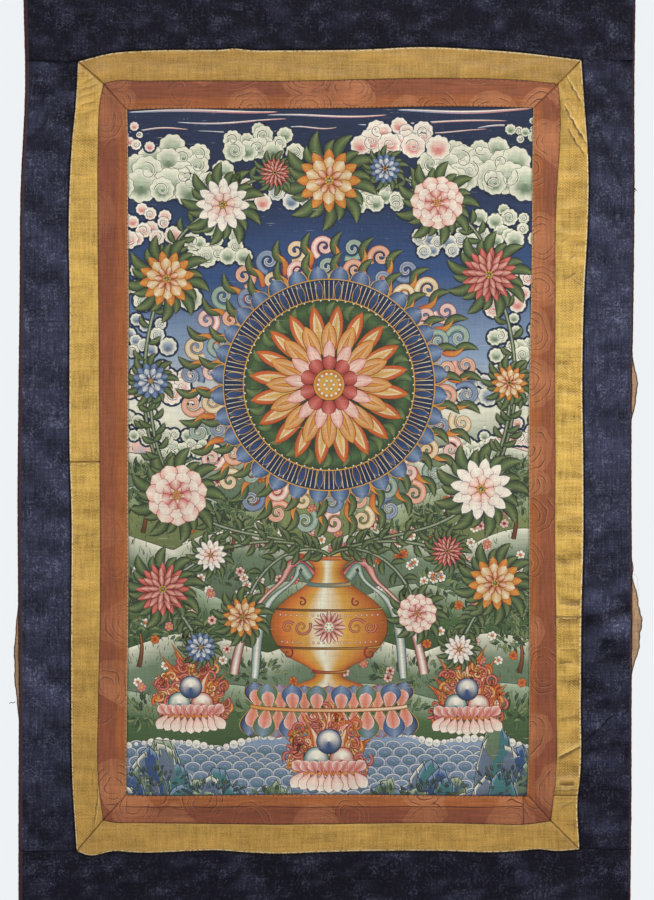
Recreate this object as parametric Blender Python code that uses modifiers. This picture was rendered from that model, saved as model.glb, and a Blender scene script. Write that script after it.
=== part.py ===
"""A thangka scroll painting: a painted cloth sewn into a mitred double border of terracotta and
gold silk, with dark blue damask panels round it and a tan lining behind.

It hangs straight down from its top edge. +Z is up, the painted side faces -Y, and the origin is
the middle of the fold that ends the top hem. Every size below is in millimetres, and one function
at the end turns them into metres.
"""

import math

import bmesh
import bpy
import numpy as np

METRES = 0.001

# ---------------------------------------------------------------- driving sizes, in millimetres

HANGING_HEIGHT = 1312.0  # top hem to bottom hem
CLOTH_THICK = 1.2  # silk with its seam turnings, and the primed picture cloth
LINING_THICK = 1.0
LINING_GAP = 0.7  # between the lining and what lies on either side of it
SEAM_GAP = 0.3  # between two pieces that are sewn edge to edge
HEM_DEPTH = 27.0  # how far a hem is turned down behind the lining
EDGING_DIAMETER = 1.3  # the dark red cord sewn along each long edge
FLAT_TOP = 45.0  # the top of the cloth hangs flat this far down
FOLD_STEPS = 6  # facets round a hem's fold

# A hem goes round the lining, so its fold is as wide as all the layers.
FOLD_RADIUS = (2 * CLOTH_THICK + LINING_THICK + 2 * LINING_GAP) / 2
FRONT = -FOLD_RADIUS  # depth of the painted side where the cloth is flat
LINING_FRONT = FRONT + CLOTH_THICK + LINING_GAP

# ---------------------------------------------------------------- seam lines, in millimetres
# Three seams run round the picture: PICTURE (its own edge), RED (terracotta to gold) and GOLD
# (gold to blue). Each is given by its four corners and by how it wanders between them.

PICTURE, RED, GOLD = 0, 1, 2

#   corner          (x, z) on PICTURE    on RED              on GOLD
CORNERS = {
    "top_left": ((-199.6, -230.5), (-223.0, -204.3), (-248.7, -181.9)),
    "top_right": ((206.0, -228.4), (230.5, -204.5), (254.0, -180.4)),
    "bottom_left": ((-200.5, -914.4), (-223.7, -939.8), (-250.0, -970.6)),
    "bottom_right": ((200.0, -914.4), (223.6, -940.4), (252.0, -968.9)),
}

#   x, then z on PICTURE, RED and GOLD
TOP_SEAMS = (
    (-216, -230.3, -202.0, -173.8),
    (-184, -229.6, -201.5, -171.2),
    (-127, -229.0, -201.0, -170.3),
    (-107, -229.0, -201.1, -170.2),
    (-92, -229.0, -201.2, -168.9),
    (-77, -229.0, -201.3, -170.5),
    (-47, -229.0, -201.5, -170.8),
    (33, -228.5, -200.0, -170.0),
    (99, -227.0, -198.6, -167.5),
    (153, -227.0, -199.0, -170.0),
    (193, -228.0, -200.5, -173.0),
)
BOTTOM_SEAMS = (
    (-239, -914.4, -941.0, -974.6),
    (-213, -914.5, -942.0, -970.6),
    (-191, -914.8, -942.3, -971.9),
    (-127, -915.0, -943.0, -970.0),
    (-112, -914.8, -943.2, -969.6),
    (-80, -914.4, -943.6, -971.8),
    (-50, -914.0, -944.0, -973.1),
    (-10, -914.0, -943.5, -971.8),
    (33, -914.0, -943.0, -970.7),
    (113, -915.0, -942.5, -970.4),
    (175, -915.4, -943.9, -971.5),
    (193, -915.5, -944.2, -970.3),
    (212, -915.0, -942.4, -968.8),
    (230, -915.0, -941.0, -970.5),
)
#   z, then x on PICTURE, RED and GOLD
LEFT_SEAMS = (
    (-220, -199.5, -226.4, -250.6),
    (-260, -199.0, -228.5, -254.4),
    (-340, -198.8, -229.0, -258.0),
    (-420, -198.0, -228.2, -257.2),
    (-500, -198.5, -227.5, -257.4),
    (-582, -198.5, -227.0, -257.0),
    (-620, -198.5, -226.8, -255.6),
    (-740, -198.5, -226.6, -255.5),
    (-820, -199.8, -228.4, -255.4),
    (-900, -200.4, -228.4, -254.4),
)
RIGHT_SEAMS = (
    (-220, 205.8, 232.3, 256.6),
    (-260, 205.5, 232.6, 259.5),
    (-300, 205.0, 230.0, 261.0),
    (-340, 204.8, 228.2, 260.4),
    (-420, 203.8, 228.0, 256.6),
    (-500, 202.0, 227.6, 255.0),
    (-580, 201.5, 228.0, 256.0),
    (-660, 202.0, 227.6, 256.0),
    (-737, 202.0, 228.6, 254.0),
    (-820, 202.0, 229.0, 253.5),
    (-900, 200.6, 228.0, 252.4),
    (-915, 200.2, 226.4, 250.6),
)
#   z, then x of the blue cloth's left and right edge
BLUE_EDGES = (
    (0, -301.0, 307.0),
    (-120, -302.0, 307.0),
    (-200, -300.4, 306.0),
    (-320, -305.0, 306.0),
    (-420, -306.0, 305.0),
    (-520, -307.2, 303.0),
    (-620, -308.0, 303.0),
    (-720, -307.2, 303.4),
    (-820, -306.4, 303.0),
    (-920, -307.0, 303.0),
    (-1020, -307.0, 302.0),
    (-1160, -305.8, 303.2),
    (-1312, -306.4, 302.0),
)
# Where the lining has slipped out past the blue: z of its middle, how far along the edge it
# reaches either way, and how far out it shows.
LEFT_SLIPS = ((-782, 62, 4.6),)
RIGHT_SLIPS = ((-508, 34, 5.6), (-688, 9, 1.6), (-745, 52, 9.4))

# ---------------------------------------------------------------- how it hangs, in millimetres
# Broad swells towards the viewer: x, z, half-width, half-height, rise.
SWELLS = (
    (0, -560, 210, 330, 3.2),
    (-296, -300, 46, 70, 2.6),
    (-300, -785, 44, 96, 4.6),
    (262, -292, 30, 80, 3.4),
    (300, -510, 40, 56, 4.2),
    (300, -742, 44, 74, 5.2),
    (-150, -1130, 120, 190, 3.4),
    (170, -1180, 110, 170, 4.2),
)
FLUTE_WIDTH = 205.0  # the loose bottom panel hangs in shallow upright flutes
FLUTE_RISE = 3.0
FLUTES_START = -960.0

# Creases that stand up from the silk: x and z of both ends, rise, half-width.
CREASES = (
    (-250, -197, -228, -190, 1.6, 7),
    (-252, -222, -230, -209, 2.2, 8),
    (-254, -262, -233, -254, 1.3, 8),
    (238, -197, 252, -224, 2.4, 5),
    (236, -228, 257, -264, 3.0, 6),
    (241, -250, 255, -276, 1.8, 5),
    (277, -212, 292, -240, 2.0, 7),
    (266, -276, 296, -322, 2.2, 9),
    (-292, -268, -264, -252, 1.8, 8),
    (230, -876, 272, -848, 2.2, 6),
    (230, -906, 249, -902, 1.8, 6),
    (-150, -927, 90, -929, 1.2, 7),
)

# ---------------------------------------------------------------- joins, and stations along sides
# Where a strip is pieced from two lengths of silk: x or z of the join, and a share of the side
# at which all lines that it crosses pass it, so that it lies square to the strip.
LEFT_JOIN = 0.507
RIGHT_JOINS = (0.706, 0.9316)
BOTTOM_JOIN = 0.935
#   side, seam lines crossed, share, x or z in millimetres
JOINS = (
    ("left", (RED, GOLD), LEFT_JOIN, -582.0),
    ("right", (RED, GOLD), RIGHT_JOINS[0], -737.0),
    ("right", (RED, GOLD), RIGHT_JOINS[1], -915.3),
    ("bottom", (PICTURE, RED), BOTTOM_JOIN, 196.0),
)

# Pairs of (share of the side, cells up to the next pair). A join falls on one of them, and cells
# are short where the creases are.
LEFT_STATIONS = ((0, 8), (0.115, 11), (LEFT_JOIN, 11), (0.9, 3), (1, 0))
RIGHT_STATIONS = ((0, 11), (0.15, 14), (RIGHT_JOINS[0], 6), (0.855, 5), (RIGHT_JOINS[1], 3), (1, 0))
TOP_STATIONS = ((0, 3), (0.07, 15), (0.93, 3), (1, 0))
BOTTOM_STATIONS = ((0, 3), (0.07, 14), (0.86, 2), (BOTTOM_JOIN, 2), (1, 0))
BLUE_ACROSS = 3  # cells across a side panel
GOLD_ACROSS = 4
RED_ACROSS = 2
TOP_ROWS = 6
BOTTOM_ROWS = 10
LINING_CELLS = (26, 46)
EDGING_STATIONS = 44

# ---------------------------------------------------------------- colours

COLOURS = {
    "picture_cloth": ((0.30, 0.30, 0.22), 0.75),
    "terracotta_silk": ((0.36, 0.13, 0.07), 0.55),
    "gold_silk": ((0.52, 0.35, 0.08), 0.45),
    "blue_damask": ((0.022, 0.024, 0.05), 0.6),
    "tan_lining": ((0.33, 0.20, 0.10), 0.9),
    "edging_cord": ((0.08, 0.03, 0.03), 0.8),
}


# ---------------------------------------------------------------- curves


def stations(pairs):
    """The shares of a side at which its pieces have points, from its table of pairs."""
    shares = []
    for (start, cells), (end, _) in zip(pairs, pairs[1:]):
        shares += [start + (end - start) * i / cells for i in range(cells)]
    return np.array(shares + [1.0])


def smooth_through(keys, at):
    """A smooth curve's heights at the places `at`. It passes through keys, rows of (place,
    height), and its slope at each key is that of the line between the key's neighbours."""
    place, height = np.array(sorted(keys), float).T
    slope = np.gradient(height, place)
    i = np.clip(np.searchsorted(place, at) - 1, 0, len(place) - 2)
    run = place[i + 1] - place[i]
    t = np.clip((at - place[i]) / run, 0, 1)
    return (
        (2 * t**3 - 3 * t**2 + 1) * height[i]
        + (t**3 - 2 * t**2 + t) * run * slope[i]
        + (3 * t**2 - 2 * t**3) * height[i + 1]
        + (t**3 - t**2) * run * slope[i + 1]
    )


SIDES = {
    "top": (TOP_SEAMS, "top_left", "top_right", TOP_STATIONS, 0),
    "bottom": (BOTTOM_SEAMS, "bottom_left", "bottom_right", BOTTOM_STATIONS, 0),
    "left": (LEFT_SEAMS, "top_left", "bottom_left", LEFT_STATIONS, 1),
    "right": (RIGHT_SEAMS, "top_right", "bottom_right", RIGHT_STATIONS, 1),
}


def seam(side, line):
    """The points (x, z) of one seam line along one side, corner to corner."""
    table, first, last, pairs, along = SIDES[side]
    ends = np.array([CORNERS[first][line], CORNERS[last][line]])
    low, high = sorted(ends[:, along])
    keys = [(row[0], row[1 + line]) for row in table if low + 4 < row[0] < high - 4]
    keys += [(end[along], end[1 - along]) for end in ends]
    passed = [(share, at) for where, lines, share, at in JOINS if where == side and line in lines]
    passed = [(0, ends[0, along])] + passed + [(1, ends[1, along])]
    runs = np.interp(stations(pairs), *zip(*passed))
    points = np.empty((len(runs), 2))
    points[:, along] = runs
    points[:, 1 - along] = smooth_through(keys, runs)
    return points


def blue_edge(side, z):
    """x of the blue cloth's left or right edge at the heights z."""
    column = 1 if side == "left" else 2
    return smooth_through([(row[0], row[column]) for row in BLUE_EDGES], z)


def lining_edge(side, z):
    """x of the lining's edge: just inside the edging, and out past it where it has slipped."""
    out, slips = (-1, LEFT_SLIPS) if side == "left" else (1, RIGHT_SLIPS)
    show = np.full_like(z, EDGING_DIAMETER)
    for middle, reach, rise in slips:
        inside = np.clip(1 - ((z - middle) / reach) ** 2, 0, 1)
        show = show + rise * inside**1.5
    return blue_edge(side, z) + out * show


# ---------------------------------------------------------------- depth


def swell(x, z):
    """How far the whole cloth stands towards the viewer: a sum of bell-shaped swells and, below
    the picture, of upright flutes that grow towards the bottom hem. It fades at the flat top."""
    rise = np.zeros_like(x)
    for at_x, at_z, wide, high, height in SWELLS:
        rise = rise + height * np.exp(-(((x - at_x) / wide) ** 2) - ((z - at_z) / high) ** 2)
    down = np.clip((FLUTES_START - z) / (HANGING_HEIGHT + FLUTES_START), 0, 1)
    rise = rise + FLUTE_RISE * down**1.4 * (1 + np.cos(2 * math.pi * x / FLUTE_WIDTH))
    return rise * np.clip(-z / FLAT_TOP - 1, 0, 1)


def creases(x, z):
    """How far the silk's creases stand up: each is a ridge with a bell-shaped section, and fades
    out past its two ends."""
    rise = np.zeros_like(x)
    for x0, z0, x1, z1, height, half in CREASES:
        run = math.hypot(x1 - x0, z1 - z0)
        way = ((x1 - x0) / run, (z1 - z0) / run)
        along = (x - x0) * way[0] + (z - z0) * way[1]
        across = (z - z0) * way[0] - (x - x0) * way[1]
        past = np.maximum(np.maximum(-along, along - run), 0)
        rise = rise + height * np.exp(-((across / half) ** 2) - (past / half) ** 2)
    return rise


def front_points(plane):
    """(x, z) points laid on the painted side, as (x, depth, z)."""
    x, z = plane[..., 0], plane[..., 1]
    return np.stack([x, FRONT - swell(x, z) - creases(x, z), z], axis=-1)


# ---------------------------------------------------------------- grids of (x, z) points


def between(first, last, cells):
    """Rows of points that go in equal steps from one line of points to another."""
    t = np.linspace(0, 1, cells + 1)[:, None, None]
    return first * (1 - t) + last * t


def parted(grid, rows=SEAM_GAP / 2, columns=SEAM_GAP / 2):
    """The grid with its border moved inwards, so that it clears the pieces sewn to it: rows is
    how far its first and last row move, and columns its first and last column."""
    grid = grid.copy()
    for edge, inner, step in ((0, 1, rows), (-1, -2, rows)):
        way = grid[inner] - grid[edge]
        grid[edge] += step * way / np.linalg.norm(way, axis=-1, keepdims=True)
    for edge, inner, step in ((0, 1, columns), (-1, -2, columns)):
        way = grid[:, inner] - grid[:, edge]
        grid[:, edge] += step * way / np.linalg.norm(way, axis=-1, keepdims=True)
    return grid


def border_grids(side, line, cells, joins=()):
    """One grid for each length of silk in a border strip, cut at its joins. A strip's ends are
    mitred, so they move by more than a straight edge does to leave the same gap."""
    whole = between(seam(side, line), seam(side, line - 1), cells)
    shares = stations(SIDES[side][3])
    cuts = [0] + [int(np.argmin(abs(shares - join))) for join in joins] + [len(shares) - 1]
    mitre = SEAM_GAP / math.sqrt(2)
    return [
        parted(whole[:, a : b + 1], columns=mitre if len(cuts) == 2 else SEAM_GAP / 2)
        for a, b in zip(cuts, cuts[1:])
    ]


def resampled(line, along, wanted):
    """A line of points as other points of the same line, at wanted shares of its x or z range."""
    shares = (line[:, along] - line[0, along]) / (line[-1, along] - line[0, along])
    return np.stack([np.interp(wanted, shares, line[:, k]) for k in (0, 1)], axis=1)


def picture_grid():
    """The picture cloth: each point is worked out from the four seams round it, so that the
    cloth meets all of them."""
    shares_across, shares_down = stations(TOP_STATIONS), stations(LEFT_STATIONS)
    top, left = seam("top", PICTURE), seam("left", PICTURE)
    bottom = resampled(seam("bottom", PICTURE), 0, shares_across)
    right = resampled(seam("right", PICTURE), 1, shares_down)
    across, down = shares_across[None, :, None], shares_down[:, None, None]
    corners = (
        (1 - across) * (1 - down) * top[0]
        + across * (1 - down) * top[-1]
        + (1 - across) * down * bottom[0]
        + across * down * bottom[-1]
    )
    grid = (1 - down) * top + down * bottom + (1 - across) * left[:, None] + across * right[:, None]
    return parted(grid - corners)


def side_panel_grid(side):
    """A blue side panel, from the blue edge to the gold seam, between the top and bottom ones."""
    inner = seam(side, GOLD)
    outer = np.stack([blue_edge(side, inner[:, 1]), inner[:, 1]], axis=1)
    return parted(between(outer, inner, BLUE_ACROSS))


def end_panel_line(side):
    """The seam under the top panel or over the bottom one, from one blue edge to the other."""
    middle = seam(side, GOLD)
    ends = []
    for edge, corner in (("left", middle[0]), ("right", middle[-1])):
        outside = np.array([blue_edge(edge, corner[1:])[0], corner[1]])
        ends.append(between(outside[None], corner[None], BLUE_ACROSS)[:, 0])
    return np.concatenate([ends[0][:-1], middle, ends[1][-2::-1]])


def end_panel_grid(side, rows):
    """The blue panel above or below the picture, out to where its hem's fold begins."""
    start = end_panel_line(side)
    fold = -FOLD_RADIUS if side == "top" else FOLD_RADIUS - HANGING_HEIGHT
    share = (start[:, 0] - start[0, 0]) / (start[-1, 0] - start[0, 0])
    at = np.full(1, fold)
    left, right = blue_edge("left", at)[0], blue_edge("right", at)[0]
    end = np.stack([left + share * (right - left), np.full(len(start), fold)], axis=1)
    grid = between(start, end, rows)
    grid[..., 0] += (1 - share) * (blue_edge("left", grid[:, 0, 1]) - grid[:, 0, 0])[:, None]
    grid[..., 0] += share * (blue_edge("right", grid[:, -1, 1]) - grid[:, -1, 0])[:, None]
    grid = parted(grid, columns=0)
    grid[-1] = end
    return grid


def hem_points(last_row, side):
    """The fold of a hem and the flap turned down behind the lining, as rows of (x, depth, z),
    carried on from the last row of a panel. The fold is a half circle round the lining."""
    up = 1 if side == "top" else -1
    angles = np.linspace(0, math.pi, FOLD_STEPS + 1)[1:]
    rows = [(-math.cos(a) * FOLD_RADIUS, up * math.sin(a) * FOLD_RADIUS) for a in angles]
    rows += [(FOLD_RADIUS, -up * (HEM_DEPTH - FOLD_RADIUS) * share) for share in (0.5, 1)]
    depth, rise = np.array(rows).T[..., None]
    x, z = np.broadcast_arrays(last_row[:, 0], last_row[:, 1] + rise)
    return np.stack([x, depth - swell(x, z), z], axis=-1)


def lining_points():
    """The lining: flat rows across the back, from just inside one hem's fold to the other's."""
    clear = LINING_GAP + CLOTH_THICK
    across, down = LINING_CELLS
    z = np.linspace(-clear - 1, clear + 1 - HANGING_HEIGHT, down + 1)
    left, right = lining_edge("left", z), lining_edge("right", z)
    x = left[:, None] + (right - left)[:, None] * np.linspace(0, 1, across + 1)
    z = np.broadcast_to(z[:, None], x.shape)
    return np.stack([x, LINING_FRONT - swell(x, z), z], axis=-1)


# ---------------------------------------------------------------- objects


def material(name):
    """A plain material of a cloth's colour and roughness."""
    found = bpy.data.materials.get(name)
    if found:
        return found
    colour, roughness = COLOURS[name]
    made = bpy.data.materials.new(name)
    made.use_nodes = True
    shader = made.node_tree.nodes["Principled BSDF"]
    shader.inputs["Base Color"].default_value = (*colour, 1)
    shader.inputs["Roughness"].default_value = roughness
    made.diffuse_color = (*colour, 1)
    return made


def cloth(name, points, thick, look, parts):
    """A sheet of cloth: a grid laid on rows of (x, depth, z) points, and thickened backwards."""
    rows, columns = points.shape[:2]
    bm = bmesh.new()
    bmesh.ops.create_grid(bm, x_segments=columns - 1, y_segments=rows - 1, size=1)
    for vert in bm.verts:
        column = round((vert.co.x + 1) / 2 * (columns - 1))
        row = round((vert.co.y + 1) / 2 * (rows - 1))
        vert.co = points[row, column] * METRES
    bm.faces.ensure_lookup_table()
    bm.normal_update()
    if bm.faces[0].normal.y > 0:
        bmesh.ops.reverse_faces(bm, faces=bm.faces[:])
    mesh = bpy.data.meshes.new(name)
    bm.to_mesh(mesh)
    bm.free()
    mesh.shade_smooth()
    sheet = bpy.data.objects.new(name, mesh)
    wall = sheet.modifiers.new("thickness", "SOLIDIFY")
    wall.thickness = thick * METRES
    wall.offset = -1
    mesh.materials.append(material(look))
    parts.objects.link(sheet)
    return sheet


def edging(side, parts):
    """The thin cord along one long edge of the blue cloth, hem to hem."""
    name = "edging_" + side
    out = -1 if side == "left" else 1
    z = np.linspace(-FOLD_RADIUS, FOLD_RADIUS - HANGING_HEIGHT, EDGING_STATIONS)
    edge = blue_edge(side, z)
    x = edge + out * (SEAM_GAP + EDGING_DIAMETER / 2)
    depth = FRONT + CLOTH_THICK / 2 - swell(edge, z)
    curve = bpy.data.curves.new(name, "CURVE")
    curve.dimensions = "3D"
    line = curve.splines.new("POLY")
    line.points.add(len(z) - 1)
    for point, place in zip(line.points, np.stack([x, depth, z], axis=1) * METRES):
        point.co = (*place, 1)
    curve.bevel_depth = EDGING_DIAMETER / 2 * METRES
    curve.bevel_resolution = 1
    curve.use_fill_caps = True
    curve.materials.append(material("edging_cord"))
    parts.objects.link(bpy.data.objects.new(name, curve))


def border_strips(parts):
    """The terracotta and the gold strips, each side in the lengths of silk it is pieced from."""
    strips = (
        ("red_top", "top", RED, RED_ACROSS, (), ("",)),
        ("red_bottom", "bottom", RED, RED_ACROSS, (BOTTOM_JOIN,), ("", "_end")),
        ("red_left", "left", RED, RED_ACROSS, (), ("",)),
        ("red_right", "right", RED, RED_ACROSS, (), ("",)),
        ("gold_top", "top", GOLD, GOLD_ACROSS, (), ("",)),
        ("gold_bottom", "bottom", GOLD, GOLD_ACROSS, (), ("",)),
        ("gold_left", "left", GOLD, GOLD_ACROSS, (LEFT_JOIN,), ("_upper", "_lower")),
        ("gold_right", "right", GOLD, GOLD_ACROSS, RIGHT_JOINS, ("_upper", "_middle", "_lower")),
    )
    for name, side, line, cells, joins, lengths in strips:
        look = "gold_silk" if line == GOLD else "terracotta_silk"
        for length, grid in zip(lengths, border_grids(side, line, cells, joins)):
            cloth(name + length, front_points(grid), CLOTH_THICK, look, parts)


def blue_panels(parts):
    """The four blue panels. The top and bottom ones run the full width and end in a hem."""
    for side in ("left", "right"):
        points = front_points(side_panel_grid(side))
        cloth("blue_" + side, points, CLOTH_THICK, "blue_damask", parts)
    for side, rows in (("top", TOP_ROWS), ("bottom", BOTTOM_ROWS)):
        grid = end_panel_grid(side, rows)
        points = np.concatenate([front_points(grid), hem_points(grid[-1], side)])
        cloth("blue_" + side, points, CLOTH_THICK, "blue_damask", parts)


def main():
    for old in list(bpy.data.objects):
        bpy.data.objects.remove(old)
    parts = bpy.data.collections.new("thangka")
    bpy.context.scene.collection.children.link(parts)
    cloth("canvas", front_points(picture_grid()), CLOTH_THICK, "picture_cloth", parts)
    border_strips(parts)
    blue_panels(parts)
    cloth("lining", lining_points(), LINING_THICK, "tan_lining", parts)
    for side in ("left", "right"):
        edging(side, parts)


main()
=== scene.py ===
# %% [markdown]
# # A thangka scroll painting
#
# A thangka is a picture on primed cotton, sewn into a mount of silk so that it can be hung up and
# rolled away. This one has a terracotta and a gold border with mitred corners, dark blue damask
# round them, a thin dark red edging and a tan lining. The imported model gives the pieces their
# place and size. Here each one is made again as a finer sheet on the same surface, and gets its
# weave, stitches, creases and wear. All lengths are in millimetres until a mesh is filled.

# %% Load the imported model
import math

import bpy
import numpy as np
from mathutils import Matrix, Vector


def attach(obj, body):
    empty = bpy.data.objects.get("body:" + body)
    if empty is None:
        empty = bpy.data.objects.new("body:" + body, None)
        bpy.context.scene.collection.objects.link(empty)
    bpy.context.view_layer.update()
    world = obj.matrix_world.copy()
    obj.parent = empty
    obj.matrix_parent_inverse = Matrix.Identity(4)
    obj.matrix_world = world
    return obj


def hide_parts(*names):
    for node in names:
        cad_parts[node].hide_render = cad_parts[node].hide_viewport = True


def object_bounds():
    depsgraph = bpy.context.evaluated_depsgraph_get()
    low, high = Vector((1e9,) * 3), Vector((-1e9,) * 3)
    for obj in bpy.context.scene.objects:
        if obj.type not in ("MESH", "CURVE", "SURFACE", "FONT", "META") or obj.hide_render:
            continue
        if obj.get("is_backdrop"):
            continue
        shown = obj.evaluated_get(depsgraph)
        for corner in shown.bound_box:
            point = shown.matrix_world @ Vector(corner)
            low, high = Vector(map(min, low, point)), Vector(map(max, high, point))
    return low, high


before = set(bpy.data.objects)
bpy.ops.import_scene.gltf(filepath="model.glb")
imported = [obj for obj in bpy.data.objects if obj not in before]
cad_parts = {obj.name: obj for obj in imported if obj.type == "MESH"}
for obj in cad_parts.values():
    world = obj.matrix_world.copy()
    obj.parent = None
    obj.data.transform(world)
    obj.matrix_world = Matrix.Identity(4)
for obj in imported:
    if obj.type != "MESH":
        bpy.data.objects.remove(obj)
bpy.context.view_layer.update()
MM = 0.001

# %% [markdown]
# ## The camera
#
# The photograph looks straight at the cloth from the height of the picture's middle, and shows
# 654 by 900 mm of it. A long lens far away keeps the edges upright and parallel, as a copy stand
# does, so the lens is worked out from the distance and the height that has to fit.

# %% Place the camera
VIEW_HEIGHT = 900.0
VIEW_MIDDLE_Z = -570.0
CAMERA_AWAY = 3000.0
SENSOR = 36.0

lens = bpy.data.cameras.new("camera")
lens.sensor_width = SENSOR
lens.lens = SENSOR * CAMERA_AWAY / VIEW_HEIGHT
camera = bpy.data.objects.new("camera", lens)
camera.location = (0, -CAMERA_AWAY * MM, VIEW_MIDDLE_Z * MM)
camera.rotation_euler = (math.pi / 2, 0, 0)
bpy.context.scene.collection.objects.link(camera)
bpy.context.scene.camera = camera
print("lens", round(lens.lens), "mm at", CAMERA_AWAY * MM, "m")

# %% [markdown]
# ## The light
#
# A painting is lit for copying by two soft lights, one on either side, so that neither glares into
# the lens. They stand level with the middle of the cloth and not far away, so the light falls off
# a little towards both ends. A third one, higher up, shades the level folds, which light from the
# sides alone would leave flat, and a fourth lights the back. The world gives the pale ground behind
# the cloth. A Light Path node keeps that ground bright while it lights the cloth only weakly.

# %% Add the lights
#   name, place in millimetres, size, watts
LIGHTS = (
    ("left_light", (-1250, -1000, -500), 600, 8.2),
    ("right_light", (1250, -960, -480), 500, 9.8),
    ("upper_light", (260, -1500, 760), 500, 15.0),
    ("back_light", (300, 2600, 300), 1500, 30.0),
)
AIM = Vector((0, 0, -520))
GROUND_LIGHT = (0.86, 0.885, 0.905, 1)
GROUND_ON_CLOTH = 0.24

for name, place, size, watts in LIGHTS:
    light = bpy.data.lights.new(name, "AREA")
    light.shape = "DISK"
    light.size = size * MM
    light.energy = watts
    lamp = bpy.data.objects.new(name, light)
    lamp.location = Vector(place) * MM
    lamp.rotation_euler = (AIM - Vector(place)).to_track_quat("-Z", "Y").to_euler()
    bpy.context.scene.collection.objects.link(lamp)

world = bpy.data.worlds.new("pale_ground")
world.use_nodes = True
bpy.context.scene.world = world
tree = world.node_tree
sky = tree.nodes["Background"]
sky.inputs["Color"].default_value = GROUND_LIGHT
seen = tree.nodes.new("ShaderNodeLightPath")
strength = tree.nodes.new("ShaderNodeMapRange")
strength.inputs["To Min"].default_value = GROUND_ON_CLOTH
strength.inputs["To Max"].default_value = 1.0
tree.links.new(seen.outputs["Is Camera Ray"], strength.inputs["Value"])
tree.links.new(strength.outputs["Result"], sky.inputs["Strength"])
bpy.context.scene.view_settings.view_transform = "Standard"
print(len(LIGHTS), "lights")

# %% [markdown]
# ## The seam lines
#
# Three seams run round the picture: its own edge, terracotta to gold, and gold to blue. None is
# quite straight, and that is what makes the mount look sewn by hand. Each one is a few measured
# points with a smooth curve through them. They are the same points that the solids were cut from.

# %% Seam tables
PICTURE, RED, GOLD = 0, 1, 2
HANGING_HEIGHT = 1312.0
FOLD_RADIUS = 2.4

#   corner: (x, z) on PICTURE, RED and GOLD
CORNERS = {
    "top_left": ((-199.6, -230.5), (-223.0, -204.3), (-248.7, -181.9)),
    "top_right": ((206.0, -228.4), (230.5, -204.5), (254.0, -180.4)),
    "bottom_left": ((-200.5, -914.4), (-223.7, -939.8), (-250.0, -970.6)),
    "bottom_right": ((200.0, -914.4), (223.6, -940.4), (252.0, -968.9)),
}
#   x, then z on PICTURE, RED and GOLD
TOP_SEAMS = (
    (-216, -230.3, -202, -173.8), (-184, -229.6, -201.5, -171.2), (-127, -229, -201, -170.3),
    (-107, -229, -201.1, -170.2), (-92, -229, -201.2, -168.9), (-77, -229, -201.3, -170.5),
    (-47, -229, -201.5, -170.8), (33, -228.5, -200, -170), (99, -227, -198.6, -167.5),
    (153, -227, -199, -170), (193, -228, -200.5, -173),
)
BOTTOM_SEAMS = (
    (-239, -914.4, -941, -974.6), (-213, -914.5, -942, -970.6), (-191, -914.8, -942.3, -971.9),
    (-127, -915, -943, -970), (-112, -914.8, -943.2, -969.6), (-80, -914.4, -943.6, -971.8),
    (-50, -914, -944, -973.1), (-10, -914, -943.5, -971.8), (33, -914, -943, -970.7),
    (113, -915, -942.5, -970.4), (175, -915.4, -943.9, -971.5), (193, -915.5, -944.2, -970.3),
    (212, -915, -942.4, -968.8), (230, -915, -941, -970.5),
)
#   z, then x on PICTURE, RED and GOLD
LEFT_SEAMS = (
    (-220, -199.5, -226.4, -250.6), (-260, -199, -228.5, -254.4), (-340, -198.8, -229, -258),
    (-420, -198, -228.2, -257.2), (-500, -198.5, -227.5, -257.4), (-582, -198.5, -227, -257),
    (-620, -198.5, -226.8, -255.6), (-740, -198.5, -226.6, -255.5), (-820, -199.8, -228.4, -255.4),
    (-900, -200.4, -228.4, -254.4),
)
RIGHT_SEAMS = (
    (-220, 205.8, 232.3, 256.6), (-260, 205.5, 232.6, 259.5), (-300, 205, 230, 261),
    (-340, 204.8, 228.2, 260.4), (-420, 203.8, 228, 256.6), (-500, 202, 227.6, 255),
    (-580, 201.5, 228, 256), (-660, 202, 227.6, 256), (-737, 202, 228.6, 254),
    (-820, 202, 229, 253.5), (-900, 200.6, 228, 252.4), (-915, 200.2, 226.4, 250.6),
)
#   z, then x of the blue cloth's left and right edge
BLUE_EDGES = (
    (0, -301, 307), (-120, -302, 307), (-200, -300.4, 306), (-320, -305, 306), (-420, -306, 305),
    (-520, -307.2, 303), (-620, -308, 303), (-720, -307.2, 303.4), (-820, -306.4, 303),
    (-920, -307, 303), (-1020, -307, 302), (-1160, -305.8, 303.2), (-1312, -306.4, 302),
)
#   shares of a side where its strips are pieced from two lengths
LEFT_JOIN, RIGHT_JOIN, LOW_RIGHT_JOIN, BOTTOM_JOIN = 0.507, 0.706, 0.9316, 0.935
#   side, seam lines crossed, share of the side, z, or x along the bottom
JOINS = (
    ("left", (RED, GOLD), LEFT_JOIN, -582.0),
    ("right", (RED, GOLD), RIGHT_JOIN, -737.0),
    ("right", (RED, GOLD), LOW_RIGHT_JOIN, -915.3),
    ("bottom", (PICTURE, RED), BOTTOM_JOIN, 196.0),
)
#   points, first corner, last corner, and whether the side runs along x (0) or z (1)
SIDES = {
    "top": (TOP_SEAMS, "top_left", "top_right", 0),
    "bottom": (BOTTOM_SEAMS, "bottom_left", "bottom_right", 0),
    "left": (LEFT_SEAMS, "top_left", "bottom_left", 1),
    "right": (RIGHT_SEAMS, "top_right", "bottom_right", 1),
}
CORNER_ROOM = 4  # a point of the table nearer than this to a corner is left out
print(sum(len(side[0]) for side in SIDES.values()), "points along the seams")


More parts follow.
